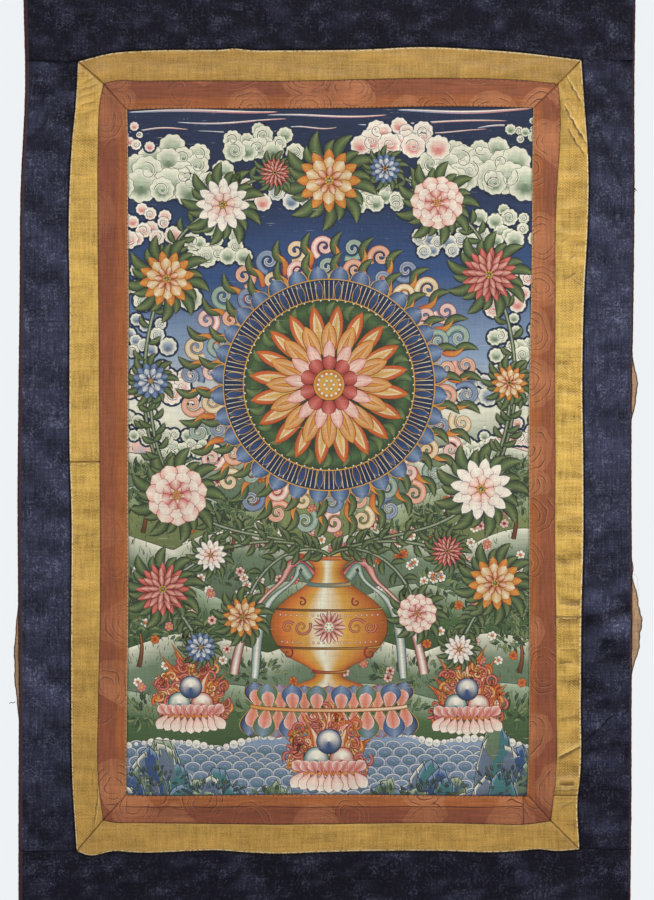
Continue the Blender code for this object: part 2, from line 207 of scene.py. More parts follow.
# %% Curves through the tables
def smooth_through(keys, at):
    """A smooth curve through keys, rows of (place, height), at the places `at`: between two keys
    it is the cubic with both heights, and the slopes of the lines between each key's neighbours."""
    place, height = np.array(sorted(keys), float).T
    slope = np.gradient(height, place)
    i = np.clip(np.searchsorted(place, at) - 1, 0, len(place) - 2)
    run = place[i + 1] - place[i]
    t = np.clip((at - place[i]) / run, 0, 1)
    return (
        (2 * t**3 - 3 * t**2 + 1) * height[i]
        + (t**3 - 2 * t**2 + t) * run * slope[i]
        + (3 * t**2 - 2 * t**3) * height[i + 1]
        + (t**3 - t**2) * run * slope[i + 1]
    )


def seam(side, line, shares):
    """Points (x, z) of one seam line, at shares of the way from its first corner to its last. A
    join lies at one share on every line it crosses, so that it is square to its strip."""
    table, first, last, along = SIDES[side]
    ends = np.array([CORNERS[first][line], CORNERS[last][line]])
    low, high = sorted(ends[:, along])
    inside = [row for row in table if low + CORNER_ROOM < row[0] < high - CORNER_ROOM]
    keys = [(row[0], row[1 + line]) for row in inside]
    keys += [(end[along], end[1 - along]) for end in ends]
    passed = [(share, at) for where, lines, share, at in JOINS if where == side and line in lines]
    passed = [(0, ends[0, along])] + passed + [(1, ends[1, along])]
    runs = np.interp(shares, *zip(*passed))
    points = np.empty((len(runs), 2))
    points[:, along] = runs
    points[:, 1 - along] = smooth_through(keys, runs)
    return points


def blue_edge(side, z):
    """x of the blue cloth's left or right edge at the heights z."""
    column = 1 if side == "left" else 2
    return smooth_through([(row[0], row[column]) for row in BLUE_EDGES], z)


half_way = np.array([0.5])
across = seam("right", PICTURE, half_way)[0, 0] - seam("left", PICTURE, half_way)[0, 0]
print("the picture is", round(across), "mm wide half-way down")

# %% [markdown]
# ## How the cloth hangs
#
# Hanging silk is never flat. Broad swells move the whole cloth, and they are in the solids too.
# On top of them lie creases that stand up where the silk was folded, and ripples that differ from
# cloth to cloth. All are heights towards the viewer, worked out for every point at once: bells,
# ridges with a bell-shaped section, and sums of a few sine waves.

# %% Swells, creases and ripples
FLAT_TOP = 45.0
FLUTE_WIDTH = 205.0
FLUTE_RISE = 3.0
FLUTES_START = -960.0

#   x, z, half-width, half-height, rise
SWELLS = (
    (0, -560, 210, 330, 3.2), (-296, -300, 46, 70, 2.6), (-300, -785, 44, 96, 4.6),
    (262, -292, 30, 80, 3.4), (300, -510, 40, 56, 4.2), (300, -742, 44, 74, 5.2),
    (-150, -1130, 120, 190, 3.4), (170, -1180, 110, 170, 4.2),
)
#   x and z of both ends, rise, half-width: the main creases, as in the solids
CREASES = (
    (-250, -197, -228, -190, 1.6, 7), (-252, -222, -230, -209, 2.2, 8),
    (-254, -262, -233, -254, 1.3, 8), (238, -197, 252, -224, 2.4, 5),
    (236, -228, 257, -264, 3.0, 6), (241, -250, 255, -276, 1.8, 5),
    (277, -212, 292, -240, 2.0, 7), (266, -276, 296, -322, 2.2, 9),
    (-292, -268, -264, -252, 1.8, 8), (230, -876, 272, -848, 2.2, 6),
    (230, -906, 249, -902, 1.8, 6), (-150, -927, 90, -929, 1.2, 7),
)


def swell(x, z):
    """How far the whole cloth stands towards the viewer: a sum of bell-shaped swells and, below
    the picture, of upright flutes that grow towards the bottom hem. It fades at the flat top."""
    rise = np.zeros_like(x)
    for at_x, at_z, wide, high, height in SWELLS:
        rise = rise + height * np.exp(-(((x - at_x) / wide) ** 2) - ((z - at_z) / high) ** 2)
    down = np.clip((FLUTES_START - z) / (HANGING_HEIGHT + FLUTES_START), 0, 1)
    rise = rise + FLUTE_RISE * down**1.4 * (1 + np.cos(2 * math.pi * x / FLUTE_WIDTH))
    return rise * np.clip(-z / FLAT_TOP - 1, 0, 1)


def ridges(x, z, table):
    """How far the creases of a table stand up: each is a ridge with a bell-shaped section, and
    fades out past its two ends."""
    rise = np.zeros_like(x)
    for x0, z0, x1, z1, height, half in table:
        run = math.hypot(x1 - x0, z1 - z0)
        way = ((x1 - x0) / run, (z1 - z0) / run)
        along = (x - x0) * way[0] + (z - z0) * way[1]
        across = (z - z0) * way[0] - (x - x0) * way[1]
        past = np.maximum(np.maximum(-along, along - run), 0)
        rise = rise + height * np.exp(-((across / half) ** 2) - (past / half) ** 2)
    return rise


def hung(x, z, proud=0.0):
    """Points (x, y, z) on the common surface, `proud` millimetres in front of it. It is the front
    of the fold at the top edge, moved by the swells and the main creases."""
    return np.stack([x, -FOLD_RADIUS - (swell(x, z) + ridges(x, z, CREASES)) - proud, z], axis=-1)


def ripples(x, z, seed, wave, stretch=1.0, lean=0.0):
    """Uneven ripples between about -1 and 1: six sine waves added up, whose lengths are from 0.6
    to 1.7 times `wave`. They run nearly level, and `stretch` over 1 makes them run more so.
    `lean` tilts them, in radians."""
    chance = np.random.default_rng(seed)
    total = np.zeros_like(x)
    for _ in range(6):
        turn = lean + chance.normal(0, 0.5) / stretch
        length = wave * chance.uniform(0.6, 1.7)
        phase = chance.uniform(0, 2 * math.pi)
        along = x * math.sin(turn) + z * math.cos(turn)
        total = total + np.sin(along * 2 * math.pi / length + phase)
    return total / 3


step = 10.0
highest = swell(*np.meshgrid(np.arange(-300, 300, step), np.arange(-1300, 0, step))).max()
print("highest swell", round(float(highest), 1), "mm")

# %% [markdown]
# ## From points to a sheet of cloth
#
# Every cloth here is a grid of points with a face between each four neighbours. The whole arrays
# go into the mesh at once. Each point can carry numbers, such as how far it is from the seam, and
# the materials read those. A Solidify modifier then gives the sheet its thickness, away from the
# viewer, so that the outside stays where it was worked out.

# %% Make a mesh from arrays
thangka = bpy.data.collections.new("thangka_looks")
bpy.context.scene.collection.children.link(thangka)


def fill_layer(layer, key, values):
    """Puts an array into one layer of a mesh, all at once."""
    layer.data.foreach_set(key, values.astype(np.float32).ravel())


def mesh_object(name, points, faces, material, numbers=None, uv=None, colours=None):
    """An object from points in millimetres (n x 3) and faces (m x 3 or m x 4 point numbers).
    numbers holds one value a point under each name, uv is in metres, and colours is n x 4."""
    mesh = bpy.data.meshes.new(name)
    mesh.vertices.add(len(points))
    mesh.vertices.foreach_set("co", (points * MM).astype(np.float32).ravel())
    mesh.loops.add(faces.size)
    mesh.loops.foreach_set("vertex_index", faces.astype(np.int32).ravel())
    mesh.polygons.add(len(faces))
    mesh.polygons.foreach_set("loop_start", np.arange(0, faces.size, faces.shape[1], dtype=np.int32))
    mesh.update(calc_edges=True)
    mesh.shade_smooth()
    for title, values in (numbers or {}).items():
        fill_layer(mesh.attributes.new(title, "FLOAT", "POINT"), "value", values)
    if uv is not None:
        fill_layer(mesh.uv_layers.new(name="cloth"), "uv", uv.reshape(-1, 2)[faces.ravel()])
    if colours is not None:
        fill_layer(mesh.attributes.new("paint", "FLOAT_COLOR", "POINT"), "color", colours)
    mesh.materials.append(material)
    made = bpy.data.objects.new(name, mesh)
    thangka.objects.link(made)
    return made


def keep(made, node=None):
    """Hangs a piece on the one body, and hides the imported node that it stands in for."""
    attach(made, "root")
    if node:
        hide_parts(node)


def grid_faces(rows, columns):
    """Four-sided faces between neighbours in a rows x columns grid of points."""
    at = np.arange(rows * columns).reshape(rows, columns)
    corners = (at[:-1, :-1], at[1:, :-1], at[1:, 1:], at[:-1, 1:])
    return np.stack(corners, axis=-1).reshape(-1, 4)


def cloth(name, node, points, look, flat, numbers=None, turn=0.0, shift=(0, 0), thick=0.6):
    """A sheet from a rows x columns x 3 array, which shows a node. flat, its width and length in mm, is
    turned into metres and then not used. Its weave is laid on (x, z), turned and shifted, so that two
    strips sewn together don't share one pattern."""
    rows, columns = points.shape[:2]
    faces = grid_faces(rows, columns)
    down, right = points[1, 0] - points[0, 0], points[0, 1] - points[0, 0]
    if np.cross(down, right)[1] > 0:
        faces = faces[:, ::-1]
    x, z = points[..., 0] + shift[0], points[..., 2] + shift[1]
    c, s = math.cos(turn), math.sin(turn)
    uv = np.stack([x * c - z * s, x * s + z * c], axis=-1) * MM
    made = mesh_object(name, points.reshape(-1, 3), faces, look, numbers, uv)
    wall = made.modifiers.new("thickness", "SOLIDIFY")
    wall.thickness = thick * MM
    wall.offset = -1
    keep(made, node)
    flat = tuple(float(side) * MM for side in flat)
    return made


print("helpers ready")

# %% [markdown]
# ## Materials: small helpers
#
# A cloth's look is a chain of nodes: noise for wear, stripes for threads, figures for the damask.
# Short functions keep those chains readable. `add` makes a node and feeds its inputs, `calc` does
# sums, and `group` makes a group with named sockets, so that one effect serves several cloths. Two
# more follow how a dyer works: `summed` adds shares of several effects to a tone, and `coats` lays
# one colour over another, each with its own mask.


# %% Node helpers
def feed(tree, node, feeds):
    """Feeds a node's inputs by name or number: a socket is linked, a value is set."""
    for key, value in feeds.items():
        if isinstance(value, bpy.types.NodeSocket):
            tree.links.new(value, node.inputs[key])
        else:
            node.inputs[key].default_value = value
    return node


def add(tree, kind, feeds=None, **settings):
    """A new node with its settings and its inputs."""
    made = tree.nodes.new("ShaderNode" + kind)
    for name, value in settings.items():
        setattr(made, name, value)
    return feed(tree, made, feeds or {})


def calc(tree, operation, a, b=0.0, c=0.0, clamp=False):
    """A sum of up to three numbers or sockets."""
    feeds = {0: a, 1: b, 2: c}
    return add(tree, "Math", feeds, operation=operation, use_clamp=clamp).outputs[0]


def times(tree, a, b, clamp=False):
    """Two numbers multiplied."""
    return calc(tree, "MULTIPLY", a, b, clamp=clamp)


def off(tree, value, middle=0.5):
    """How far a number is over its middle, below it with a minus sign."""
    return calc(tree, "SUBTRACT", value, middle)


def summed(tree, start, *parts):
    """start, plus each part's value times its share."""
    for value, share in parts:
        start = calc(tree, "MULTIPLY_ADD", value, share, start)
    return start


def joined(tree, operation, a, b=(0, 0, 0), c=(0, 0, 0), out=0):
    """A sum of up to three vectors."""
    return add(tree, "VectorMath", {0: a, 1: b, 2: c}, operation=operation).outputs[out]


def scaled(tree, vector, x, y, z=1.0):
    """A place measured in other units along each axis."""
    return joined(tree, "MULTIPLY", vector, (x, y, z))


def axis(tree, vector, name):
    """One of the numbers X, Y and Z of a vector."""
    return add(tree, "SeparateXYZ", {0: vector}).outputs[name]


def between(tree, value, low, high, to_low=0.0, to_high=1.0):
    """The value's way from low to high, eased at both ends, as a number from to_low to to_high."""
    feeds = {"Value": value, "From Min": low, "From Max": high, "To Min": to_low, "To Max": to_high}
    return add(tree, "MapRange", feeds, interpolation_type="SMOOTHSTEP").outputs["Result"]


def mixed(tree, share, first, second, how="MIX"):
    """One colour turned into another by a share from 0 to 1."""
    made = add(tree, "Mix", {0: share, 6: first, 7: second}, data_type="RGBA", blend_type=how)
    return made.outputs[2]


def coats(tree, colour, *layers):
    """Colours (red, green, blue) laid over a first one, each where its mask is 1."""
    for mask, coat in layers:
        colour = mixed(tree, mask, colour, (*coat, 1))
    return colour


def toned(tree, colour, tone):
    """A colour times a tone, which is 1 where nothing changes."""
    grey = add(tree, "CombineXYZ", {0: tone, 1: tone, 2: tone}).outputs[0]
    return mixed(tree, 1.0, colour, grey, "MULTIPLY")


def noise(tree, place, scale=1.0, detail=2.0, rough=0.5):
    """Cloudy noise from 0 to 1."""
    feeds = {"Vector": place, "Scale": scale, "Detail": detail, "Roughness": rough}
    return add(tree, "TexNoise", feeds).outputs["Fac"]


def bent_by(tree, place, at, scale, detail, size):
    """A place, moved by up to half of size (x, y, z) by noise at the place `at`."""
    bend = add(tree, "TexNoise", {"Vector": at, "Scale": scale, "Detail": detail}).outputs["Color"]
    bend = joined(tree, "SUBTRACT", bend, (0.5, 0.5, 0.5))
    return joined(tree, "MULTIPLY_ADD", bend, size, place)


def group(name, inputs, outputs):
    """An empty node group with named sockets. Inputs are numbers, but for those that say Vector.
    Returns its tree, the sockets that enter it, and the sockets that its results go into."""
    made = bpy.data.node_groups.new(name, "ShaderNodeTree")
    for title, kind in inputs.items():
        made.interface.new_socket(title, in_out="INPUT", socket_type="NodeSocket" + kind)
    for title in outputs:
        made.interface.new_socket(title, in_out="OUTPUT", socket_type="NodeSocketFloat")
    return made, made.nodes.new("NodeGroupInput").outputs, made.nodes.new("NodeGroupOutput")


def use(tree, made, **feeds):
    """A node that runs a group inside a material: its outputs."""
    return feed(tree, add(tree, "Group", node_tree=made), feeds).outputs


def number(tree, title):
    """A number that each point of the mesh carries."""
    return add(tree, "Attribute", attribute_name=title).outputs["Fac"]


def near(tree, title, full, none, share):
    """A mask that is `share` within `full` mm of something, and 0 from `none` mm on. The mesh
    carries the distance under its title."""
    return between(tree, number(tree, title), full, none, share, 0.0)


def object_place(tree):
    """The place on the object, in millimetres."""
    return scaled(tree, add(tree, "TexCoord").outputs["Object"], 1000, 1000, 1000)


def new_material(name, roughness, specular, sheen=0.0):
    """A material, its tree of nodes and its Principled shader."""
    made = bpy.data.materials.new(name)
    made.use_nodes = True
    shader = made.node_tree.nodes["Principled BSDF"]
    plain = {"Roughness": roughness, "Specular IOR Level": specular, "Sheen Weight": sheen}
    feed(made.node_tree, shader, plain)
    return made, made.node_tree, shader


def finished(made, colour, height, depth, strength):
    """Feeds a material's shader its colour, and a normal from a height of 0 to 1 that stands for
    `depth` millimetres."""
    tree = made.node_tree
    feeds = {"Strength": strength, "Distance": depth * MM, "Height": height}
    bump = add(tree, "Bump", feeds).outputs["Normal"]
    feed(tree, tree.nodes["Principled BSDF"], {"Base Color": colour, "Normal": bump})
    return made


print("node helpers ready")

# %% [markdown]
# ## Threads
#
# Silk shows fine ribs, and no two threads are equally thick or bright. Noise drawn out long in one
# direction and thin in the other gives such streaks. The group does that for both directions, and
# returns a tone for the colour and a height for the bump.

# %% The thread group
inputs = {"Place": "Vector", "Upright": "Float", "Level": "Float"}
threads, enter, leave = group("Threads", inputs, ["Tone", "Height"])
streaks = []
for way, x, y in (("Upright", 0.42, 0.035), ("Level", 0.03, 0.46)):
    long = noise(threads, scaled(threads, enter["Place"], x, y), 1.0, 2.0, 0.75)
    streaks.append(times(threads, off(threads, long), enter[way]))
streaks = calc(threads, "ADD", *streaks)
ribs = {"Vector": enter["Place"], "Distortion": 1.0, "Detail": 1.0, "Detail Scale": 1.4, "Scale": 0.36}
warp, weft = (add(threads, "TexWave", ribs, bands_direction=way).outputs["Fac"] for way in "XY")
woven = times(threads, calc(threads, "ADD", warp, weft), 0.12)
tone, height = calc(threads, "ADD", 1.0, streaks), calc(threads, "ADD", woven, streaks)
feed(threads, leave, {"Tone": tone, "Height": height})
print("threads:", len(threads.nodes), "nodes")

# %% [markdown]
# ## Wear
#
# Old silk fades in soft patches and gathers small dark marks. Large noise gives the patches, and
# the tops of a finer noise give the marks. A third noise, as fine as dust, keeps any one colour from
# being quite even. The group returns all three, so that each cloth can decide how much it shows.

# %% The wear group
wear, enter, leave = group("Wear", {"Place": "Vector"}, ["Fade", "Marks", "Fine"])
fade = between(wear, noise(wear, enter["Place"], 0.018, 4.0, 0.55), 0.3, 0.7, -1.0, 1.0)
marks = between(wear, noise(wear, enter["Place"], 0.16, 3.0, 0.6), 0.66, 0.78)
fine = noise(wear, enter["Place"], 0.9, 2.0, 0.7)
feed(wear, leave, {"Fade": fade, "Marks": marks, "Fine": fine})
print("wear:", len(wear.nodes), "nodes")

# %% [markdown]
# ## Cloud damask
#
# The terracotta silk has clouds woven in, tone on tone: rounded patches a little lighter than the
# ground, filled with thin dark lines, each with a pale one beside it. A Voronoi texture scatters
# the middles of the patches, and the lines are rings round them, one at each step of the distance
# from the nearest middle. Spirals could be drawn too, by adding the turn round the middle to the
# distance, but worn rings come closer to this silk. Noise bends the place first, so that no ring
# is a true circle.

# %% The cloud group
CLOUD_SPACING = 50.0
CLOUD_REACH = 24.0
CLOUD_HEART = (4.0, 5.0, 7.0)  # where a patch begins to fade, and where its lines start and are full
LINE_SPACING = 5.6

clouds, enter, leave = group("Cloud rings", {"Place": "Vector"}, ["Patch", "Line", "Pale"])
bent = enter["Place"]
for scale, size in ((0.025, 18.0), (0.10, 4.0)):
    bent = bent_by(clouds, bent, enter["Place"], scale, 0.0, (size, size, 0))
feeds = {"Vector": bent, "Scale": 1 / CLOUD_SPACING, "Randomness": 0.8}
cells = add(clouds, "TexVoronoi", feeds, voronoi_dimensions="2D").outputs
away = times(clouds, cells["Distance"], CLOUD_SPACING)
ring = calc(clouds, "FRACT", calc(clouds, "DIVIDE", away, LINE_SPACING))
inside = between(clouds, away, CLOUD_REACH, CLOUD_REACH + 1.5, 1.0, 0.0)
shown = between(clouds, noise(clouds, enter["Place"], 0.045, 1.0), 0.40, 0.52)
chosen = calc(clouds, "GREATER_THAN", axis(clouds, cells["Color"], "X"), 0.35)
filled = times(clouds, chosen, between(clouds, away, CLOUD_HEART[0], CLOUD_REACH, 1.0, 0.55))
seen = times(clouds, times(clouds, inside, between(clouds, away, *CLOUD_HEART[1:])), shown)
feed(clouds, leave, {"Patch": times(clouds, inside, filled)})
for title, middle in (("Line", 0.5), ("Pale", 0.68)):
    from_line = calc(clouds, "ABSOLUTE", off(clouds, ring, middle))
    feed(clouds, leave, {title: times(clouds, between(clouds, from_line, 0.03, 0.13, 1.0, 0.0), seen)})
print("cloud rings:", len(clouds.nodes), "nodes")

# %% [markdown]
# ## Spray damask
#
# The blue silk is covered with small sprays of fine strokes, hardly lighter than the ground. Each
# spray has a Voronoi centre. Its strokes lie where a wave of the turn round the centre peaks, and
# where a wave of the distance from it does. Noise bends and breaks them, and thin twigs run between
# the sprays along the lines where two more noises cross their middle value.

# %% The spray group
SPRAY_SPACING = 19.0
SPRAY_REACH = 6.2
STROKES = 9.0
STROKE_STEP = 2.5

sprays, enter, leave = group("Sprays", {"Place": "Vector"}, ["Figure"])
place = enter["Place"]
feeds = {"Vector": place, "Scale": 1 / SPRAY_SPACING, "Randomness": 0.8}
cells = add(sprays, "TexVoronoi", feeds, voronoi_dimensions="2D").outputs
middle = scaled(sprays, cells["Position"], 1, 1, 0)
apart = add(sprays, "SeparateXYZ", {0: joined(sprays, "SUBTRACT", place, middle)}).outputs
away = times(sprays, cells["Distance"], SPRAY_SPACING)
turn = calc(sprays, "ARCTAN2", apart["Y"], apart["X"])
bend = times(sprays, noise(sprays, place, 0.22, 1.0), 9.0)
rays = calc(sprays, "COSINE", summed(sprays, bend, (turn, STROKES)))
arcs = calc(sprays, "COSINE", summed(sprays, bend, (away, STROKE_STEP)))
fine = calc(sprays, "MAXIMUM", between(sprays, rays, 0.35, 0.9), between(sprays, arcs, 0.5, 0.95))
ragged = summed(sprays, away, (noise(sprays, place, 0.3, 1.0), 6.0))
spray = times(sprays, fine, between(sprays, ragged, SPRAY_REACH, SPRAY_REACH + 3.0, 1.0, 0.0))
twigs = 0.0
for scale, width in ((0.10, 0.016), (0.21, 0.026)):
    from_line = calc(sprays, "ABSOLUTE", off(sprays, noise(sprays, place, scale, 1.0, 0.6)))
    twigs = calc(sprays, "MAXIMUM", twigs, between(sprays, from_line, width * 0.4, width, 0.8, 0.0))
broken = between(sprays, noise(sprays, place, 0.35, 2.0), 0.44, 0.54)
feed(sprays, leave, {"Figure": times(sprays, calc(sprays, "MAXIMUM", spray, twigs), broken)})
print("sprays:", len(sprays.nodes), "nodes")

# %% [markdown]
# ## Pressed creases
#
# Where silk was folded sharply, one side of the line is painted dark, as painted shade where it
# faces away from the light, and the other is painted a little pale, as a painted highlight. A vertex
# every two millimetres is too coarse for so thin a line, so a group measures how far a point is from
# a straight piece of crease. It gives painted shade on the one side, fading over its width, and a
# little less than none, a painted highlight, on the other.

# %% The crease group
inputs = {"Place": "Vector", "Start": "Vector", "End": "Vector", "Width": "Float", "Dark": "Float"}
crease, enter, leave = group("Crease", inputs, ["Dark"])
run = joined(crease, "SUBTRACT", enter["End"], enter["Start"])
away = joined(crease, "SUBTRACT", enter["Place"], enter["Start"])
long = joined(crease, "LENGTH", run, out="Value")
along = joined(crease, "DOT_PRODUCT", away, run, out="Value")
share = calc(crease, "DIVIDE", along, times(crease, long, long), clamp=True)
rest = calc(crease, "SUBTRACT", 1.0, share)
ends = times(crease, times(crease, share, rest), 7.0, clamp=True)
beside = axis(crease, joined(crease, "CROSS_PRODUCT", away, run), "Y")
ratio = calc(crease, "DIVIDE", calc(crease, "DIVIDE", beside, long), enter["Width"])
edge = between(crease, ratio, 0.0, -0.16)
# painted shade: the side of a crease that faces away from the light, fading over its width
shaded = times(crease, edge, between(crease, ratio, -1.0, -0.1))
pale_side = calc(crease, "SUBTRACT", 1.0, edge)
# painted highlight: the other side is made a little lighter, as a negative darkness
rubbed = times(crease, pale_side, between(crease, ratio, 0.0, 0.8, -0.3, 0.0))
dark = times(crease, calc(crease, "ADD", shaded, rubbed), ends)
feed(crease, leave, {"Dark": times(crease, dark, enter["Dark"])})
print("crease:", len(crease.nodes), "nodes")

# %% [markdown]
# ## The three silks, the lining and the thread
#
# Each material starts from the colour of its cloth. Threads, damask and wear then make it lighter
# or darker by small shares, and the height of the folds adds painted light and shade. The numbers
# that the mesh carries add what belongs to an edge: the pale rolled edge of the gold silk, a painted
# highlight, and the dark line where it dips into the seam, which is painted shade.

# %% Gold silk
TWILL_WIDTH = 9.0
TWILL_STEP = 2.7
#   x and z of both ends, width of the shaded side, darkness: the shade is to the right of the way
#   from the first end to the second
GOLD_LINES = (
    (238.5, -195.5, 248.5, -212.5, 3.0, 0.7), (245, -205.5, 255, -224, 3.6, 0.8),
    (236.5, -224, 248, -245.5, 3.4, 0.9), (244, -238.5, 256, -260, 4.2, 1.0),
    (252, -252, 261, -268, 3.0, 0.7), (240.5, -248, 249, -263.5, 2.8, 0.7),
    (246, -258.5, 258, -276, 3.4, 0.8), (244, -219, 233.5, -223.5, 3.0, 0.4),
    (-246, -204, -231, -195.5, 4.0, 0.45), (-248, -211, -228.5, -203, 4.2, 0.5),
    (-249, -218, -229, -212, 4.0, 0.4), (-248, -226, -229, -220, 4.6, 0.45),
    (-246, -234, -230, -229, 4.0, 0.35), (-227.4, -896, -229.2, -930, 1.6, 0.8),
    (-229, -920, -231.8, -948, 1.8, 0.9), (252, -725.6, 230, -724.9, 8.0, 0.5),
    (230, -738, 254, -737.6, 4.0, 0.7), (230, -764, 252, -762.6, 3.0, 0.35),
    (232, -769, 250, -768.4, 3.6, 0.45), (246, -783, 232, -783.4, 4.6, 0.6),
    (230, -796, 248, -795, 4.0, 0.3), (228.5, -877.5, 256, -863, 5.6, 1.0),
    (248, -905, 231, -905.6, 8.0, 0.85), (229, -909.5, 252, -908, 3.0, 0.4),
    (231, -927.5, 246, -920.5, 4.2, 0.45), (-256.4, -584.6, -227.4, -583, 2.2, 0.5),
    (-254, -655, -230, -652, 5.0, 0.2), (249.5, -393, 237, -401.5, 3.0, 0.6),
    (245.5, -398, 255.5, -405.5, 2.6, 0.55), (249, -375.5, 242, -380.5, 3.0, 0.45),
    (240, -359, 233, -364.5, 3.4, 0.35), (229, -330, 258, -326, 5.0, 0.25),
    (229, -352, 257, -356, 6.0, 0.22), (229, -470, 255, -466, 6.0, 0.2),
    (229, -560, 256, -563, 5.0, 0.25), (229, -640, 256, -637, 6.0, 0.25),
    (229, -838, 253, -834, 5.0, 0.3),
)


def creased(tree, lines):
    """The pressed creases of a table, added up, with each line bent a little by noise: painted shade on
    one side of each line, and a faint painted highlight on the other.
    """
    place = object_place(tree)
    flat = scaled(tree, bent_by(tree, place, place, 0.16, 1.0, (4.0, 0, 4.0)), 1, 0, 1)
    dark = 0.0
    for x0, z0, x1, z1, wide, strength in lines:
        ends = {"Start": (x0, 0, z0), "End": (x1, 0, z1)}
        line = use(tree, crease, Place=flat, Width=wide, Dark=strength, **ends)
        dark = calc(tree, "ADD", dark, line["Dark"])
    return dark


def start_cloth(name, roughness, specular, sheen, upright, level):
    """A cloth's material, with the effects that every cloth has: its tree, its place on the cloth
    in millimetres, its threads and its wear."""
    made, tree, shader = new_material(name, roughness, specular, sheen)
    shader.inputs["Sheen Roughness"].default_value = 0.4
    place = scaled(tree, add(tree, "UVMap", uv_map="cloth").outputs["UV"], 1000, 1000, 0)
    weave = use(tree, threads, Place=place, Upright=upright, Level=level)
    return made, tree, place, weave, use(tree, wear, Place=place)


def gold_silk():
    """Gold twill with a herringbone in the upright strips."""
    made, tree, place, weave, worn = start_cloth("gold_silk", 0.42, 0.4, 0.05, 0.85, 0.75)
    arcs = use(tree, clouds, Place=scaled(tree, place, 1.5, 1.5))["Line"]
    zigzag = calc(tree, "PINGPONG", axis(tree, place, "X"), TWILL_WIDTH)
    twill = summed(tree, axis(tree, place, "Y"), (zigzag, 0.8))
    twill = calc(tree, "COSINE", times(tree, twill, 2 * math.pi / TWILL_STEP))
    zone = between(tree, noise(tree, place, 0.014, 1.0), 0.48, 0.58)
    figure = times(tree, twill, times(tree, zone, number(tree, "upright_side")))
    soft = off(tree, noise(tree, place, 0.06, 2.0))
    grain = off(tree, noise(tree, scaled(tree, place, 1.0, 0.5), 1.5, 1.0, 0.5))
    # the crest term is painted light and shade on the folds: lighter on their crests, darker in their
    # hollows
    tone = summed(
        tree, weave["Tone"], (worn["Fade"], 0.08), (figure, 0.15), (soft, 0.5), (arcs, 0.12),
        (worn["Marks"], -0.16), (grain, 1.0), (off(tree, worn["Fine"]), 1.1),
        (number(tree, "crest"), 0.24),
    )
    # deep: in the gold, painted shade where the light falls off towards a strip's ends, and painted sheen
    # that changes along it
    colour = mixed(tree, number(tree, "deep"), (0.590, 0.368, 0.080, 1), (0.365, 0.203, 0.045, 1))
    # where the tone is low, which includes the painted shade of the folds, the gold turns browner
    colour = coats(tree, colour, (between(tree, tone, 0.5, 1.0, 0.5, 0.0), (0.42, 0.22, 0.02)))
    lines = creased(tree, GOLD_LINES)
    ticks = between(tree, noise(tree, place, 0.35, 1.0), 0.40, 0.52)
    colour = coats(
        tree,
        toned(tree, colour, tone),
        # painted shade on one side of each pressed crease, then a painted highlight on the other
        (times(tree, lines, 1.0, clamp=True), (0.115, 0.056, 0.010)),
        (times(tree, lines, -1.0, clamp=True), (0.90, 0.68, 0.30)),
        # painted highlight: a pale broken line along the gold's rolled outer edge
        (times(tree, near(tree, "outer_mm", 0.5, 2.2, 0.85), ticks), (0.95, 0.80, 0.50)),
        # painted shade: a dark line where the silk rolls down into its seams
        (near(tree, "seam_mm", 0.1, 0.6, 0.7), (0.12, 0.05, 0.016)),
    )
    return finished(made, colour, summed(tree, weave["Height"], (arcs, -0.2)), 0.3, 0.8)


# %% Terracotta silk
def terracotta_silk():
    """Terracotta silk with clouds, deeper in colour where its strip's numbers say, and darker below the
    fold line along its lower strip, with a dark line of painted shade along that fold."""
    made, tree, place, weave, worn = start_cloth("terracotta_silk", 0.55, 0.3, 0.04, 0.5, 1.1)
    figure = use(tree, clouds, Place=place)
    figured = number(tree, "figured")
    # the crest term is painted light and shade on the folds: lighter on their crests, darker in their
    # hollows
    tone = summed(
        tree, weave["Tone"], (worn["Fade"], 0.08), (worn["Marks"], -0.12),
        (off(tree, worn["Fine"]), 0.9), (number(tree, "crest"), 0.15),
    )
    colour = mixed(tree, number(tree, "deep"), (0.318, 0.099, 0.028, 1), (0.215, 0.061, 0.024, 1))
    colour = coats(
        tree,
        colour,
        (between(tree, number(tree, "inner_mm"), 8.0, 17.0, 0.0, 0.45), (0.215, 0.062, 0.034)),
        (near(tree, "inner_mm", 9.0, 15.0, 0.4), (0.39, 0.120, 0.030)),
        (times(tree, figure["Patch"], figured), (0.44, 0.168, 0.070)),
        (times(tree, figure["Pale"], times(tree, figured, 0.32)), (0.58, 0.29, 0.16)),
        (times(tree, figure["Line"], figured, clamp=True), (0.095, 0.024, 0.011)),
    )
    # painted shade: a dark broken line along the fold of the lower strip
    pressed = summed(tree, number(tree, "above_fold"), (noise(tree, place, 0.02, 2.0), 5.0))
    pressed = calc(tree, "ABSOLUTE", off(tree, pressed, 2.5))
    broken = between(tree, noise(tree, place, 0.03, 1.0), 0.40, 0.52, 0.25, 0.85)
    thread = times(tree, near(tree, "inner_mm", 0.5, 1.4, 0.75), number(tree, "upright_side"))
    colour = coats(
        tree,
        toned(tree, colour, tone),
        (near(tree, "inner_mm", 0.8, 4.0, 0.4), (0.52, 0.20, 0.07)),
        (times(tree, between(tree, pressed, 0.25, 1.0, 1.0, 0.0), broken), (0.06, 0.016, 0.010)),
        # painted shade: a dark line where the silk rolls down into its seams
        (near(tree, "seam_mm", 0.1, 0.7, 0.75), (0.05, 0.014, 0.008)),
        (thread, (0.60, 0.42, 0.20)),
    )
    height = summed(tree, weave["Height"], (figure["Line"], -0.3))
    return finished(made, colour, height, 0.25, 0.8)


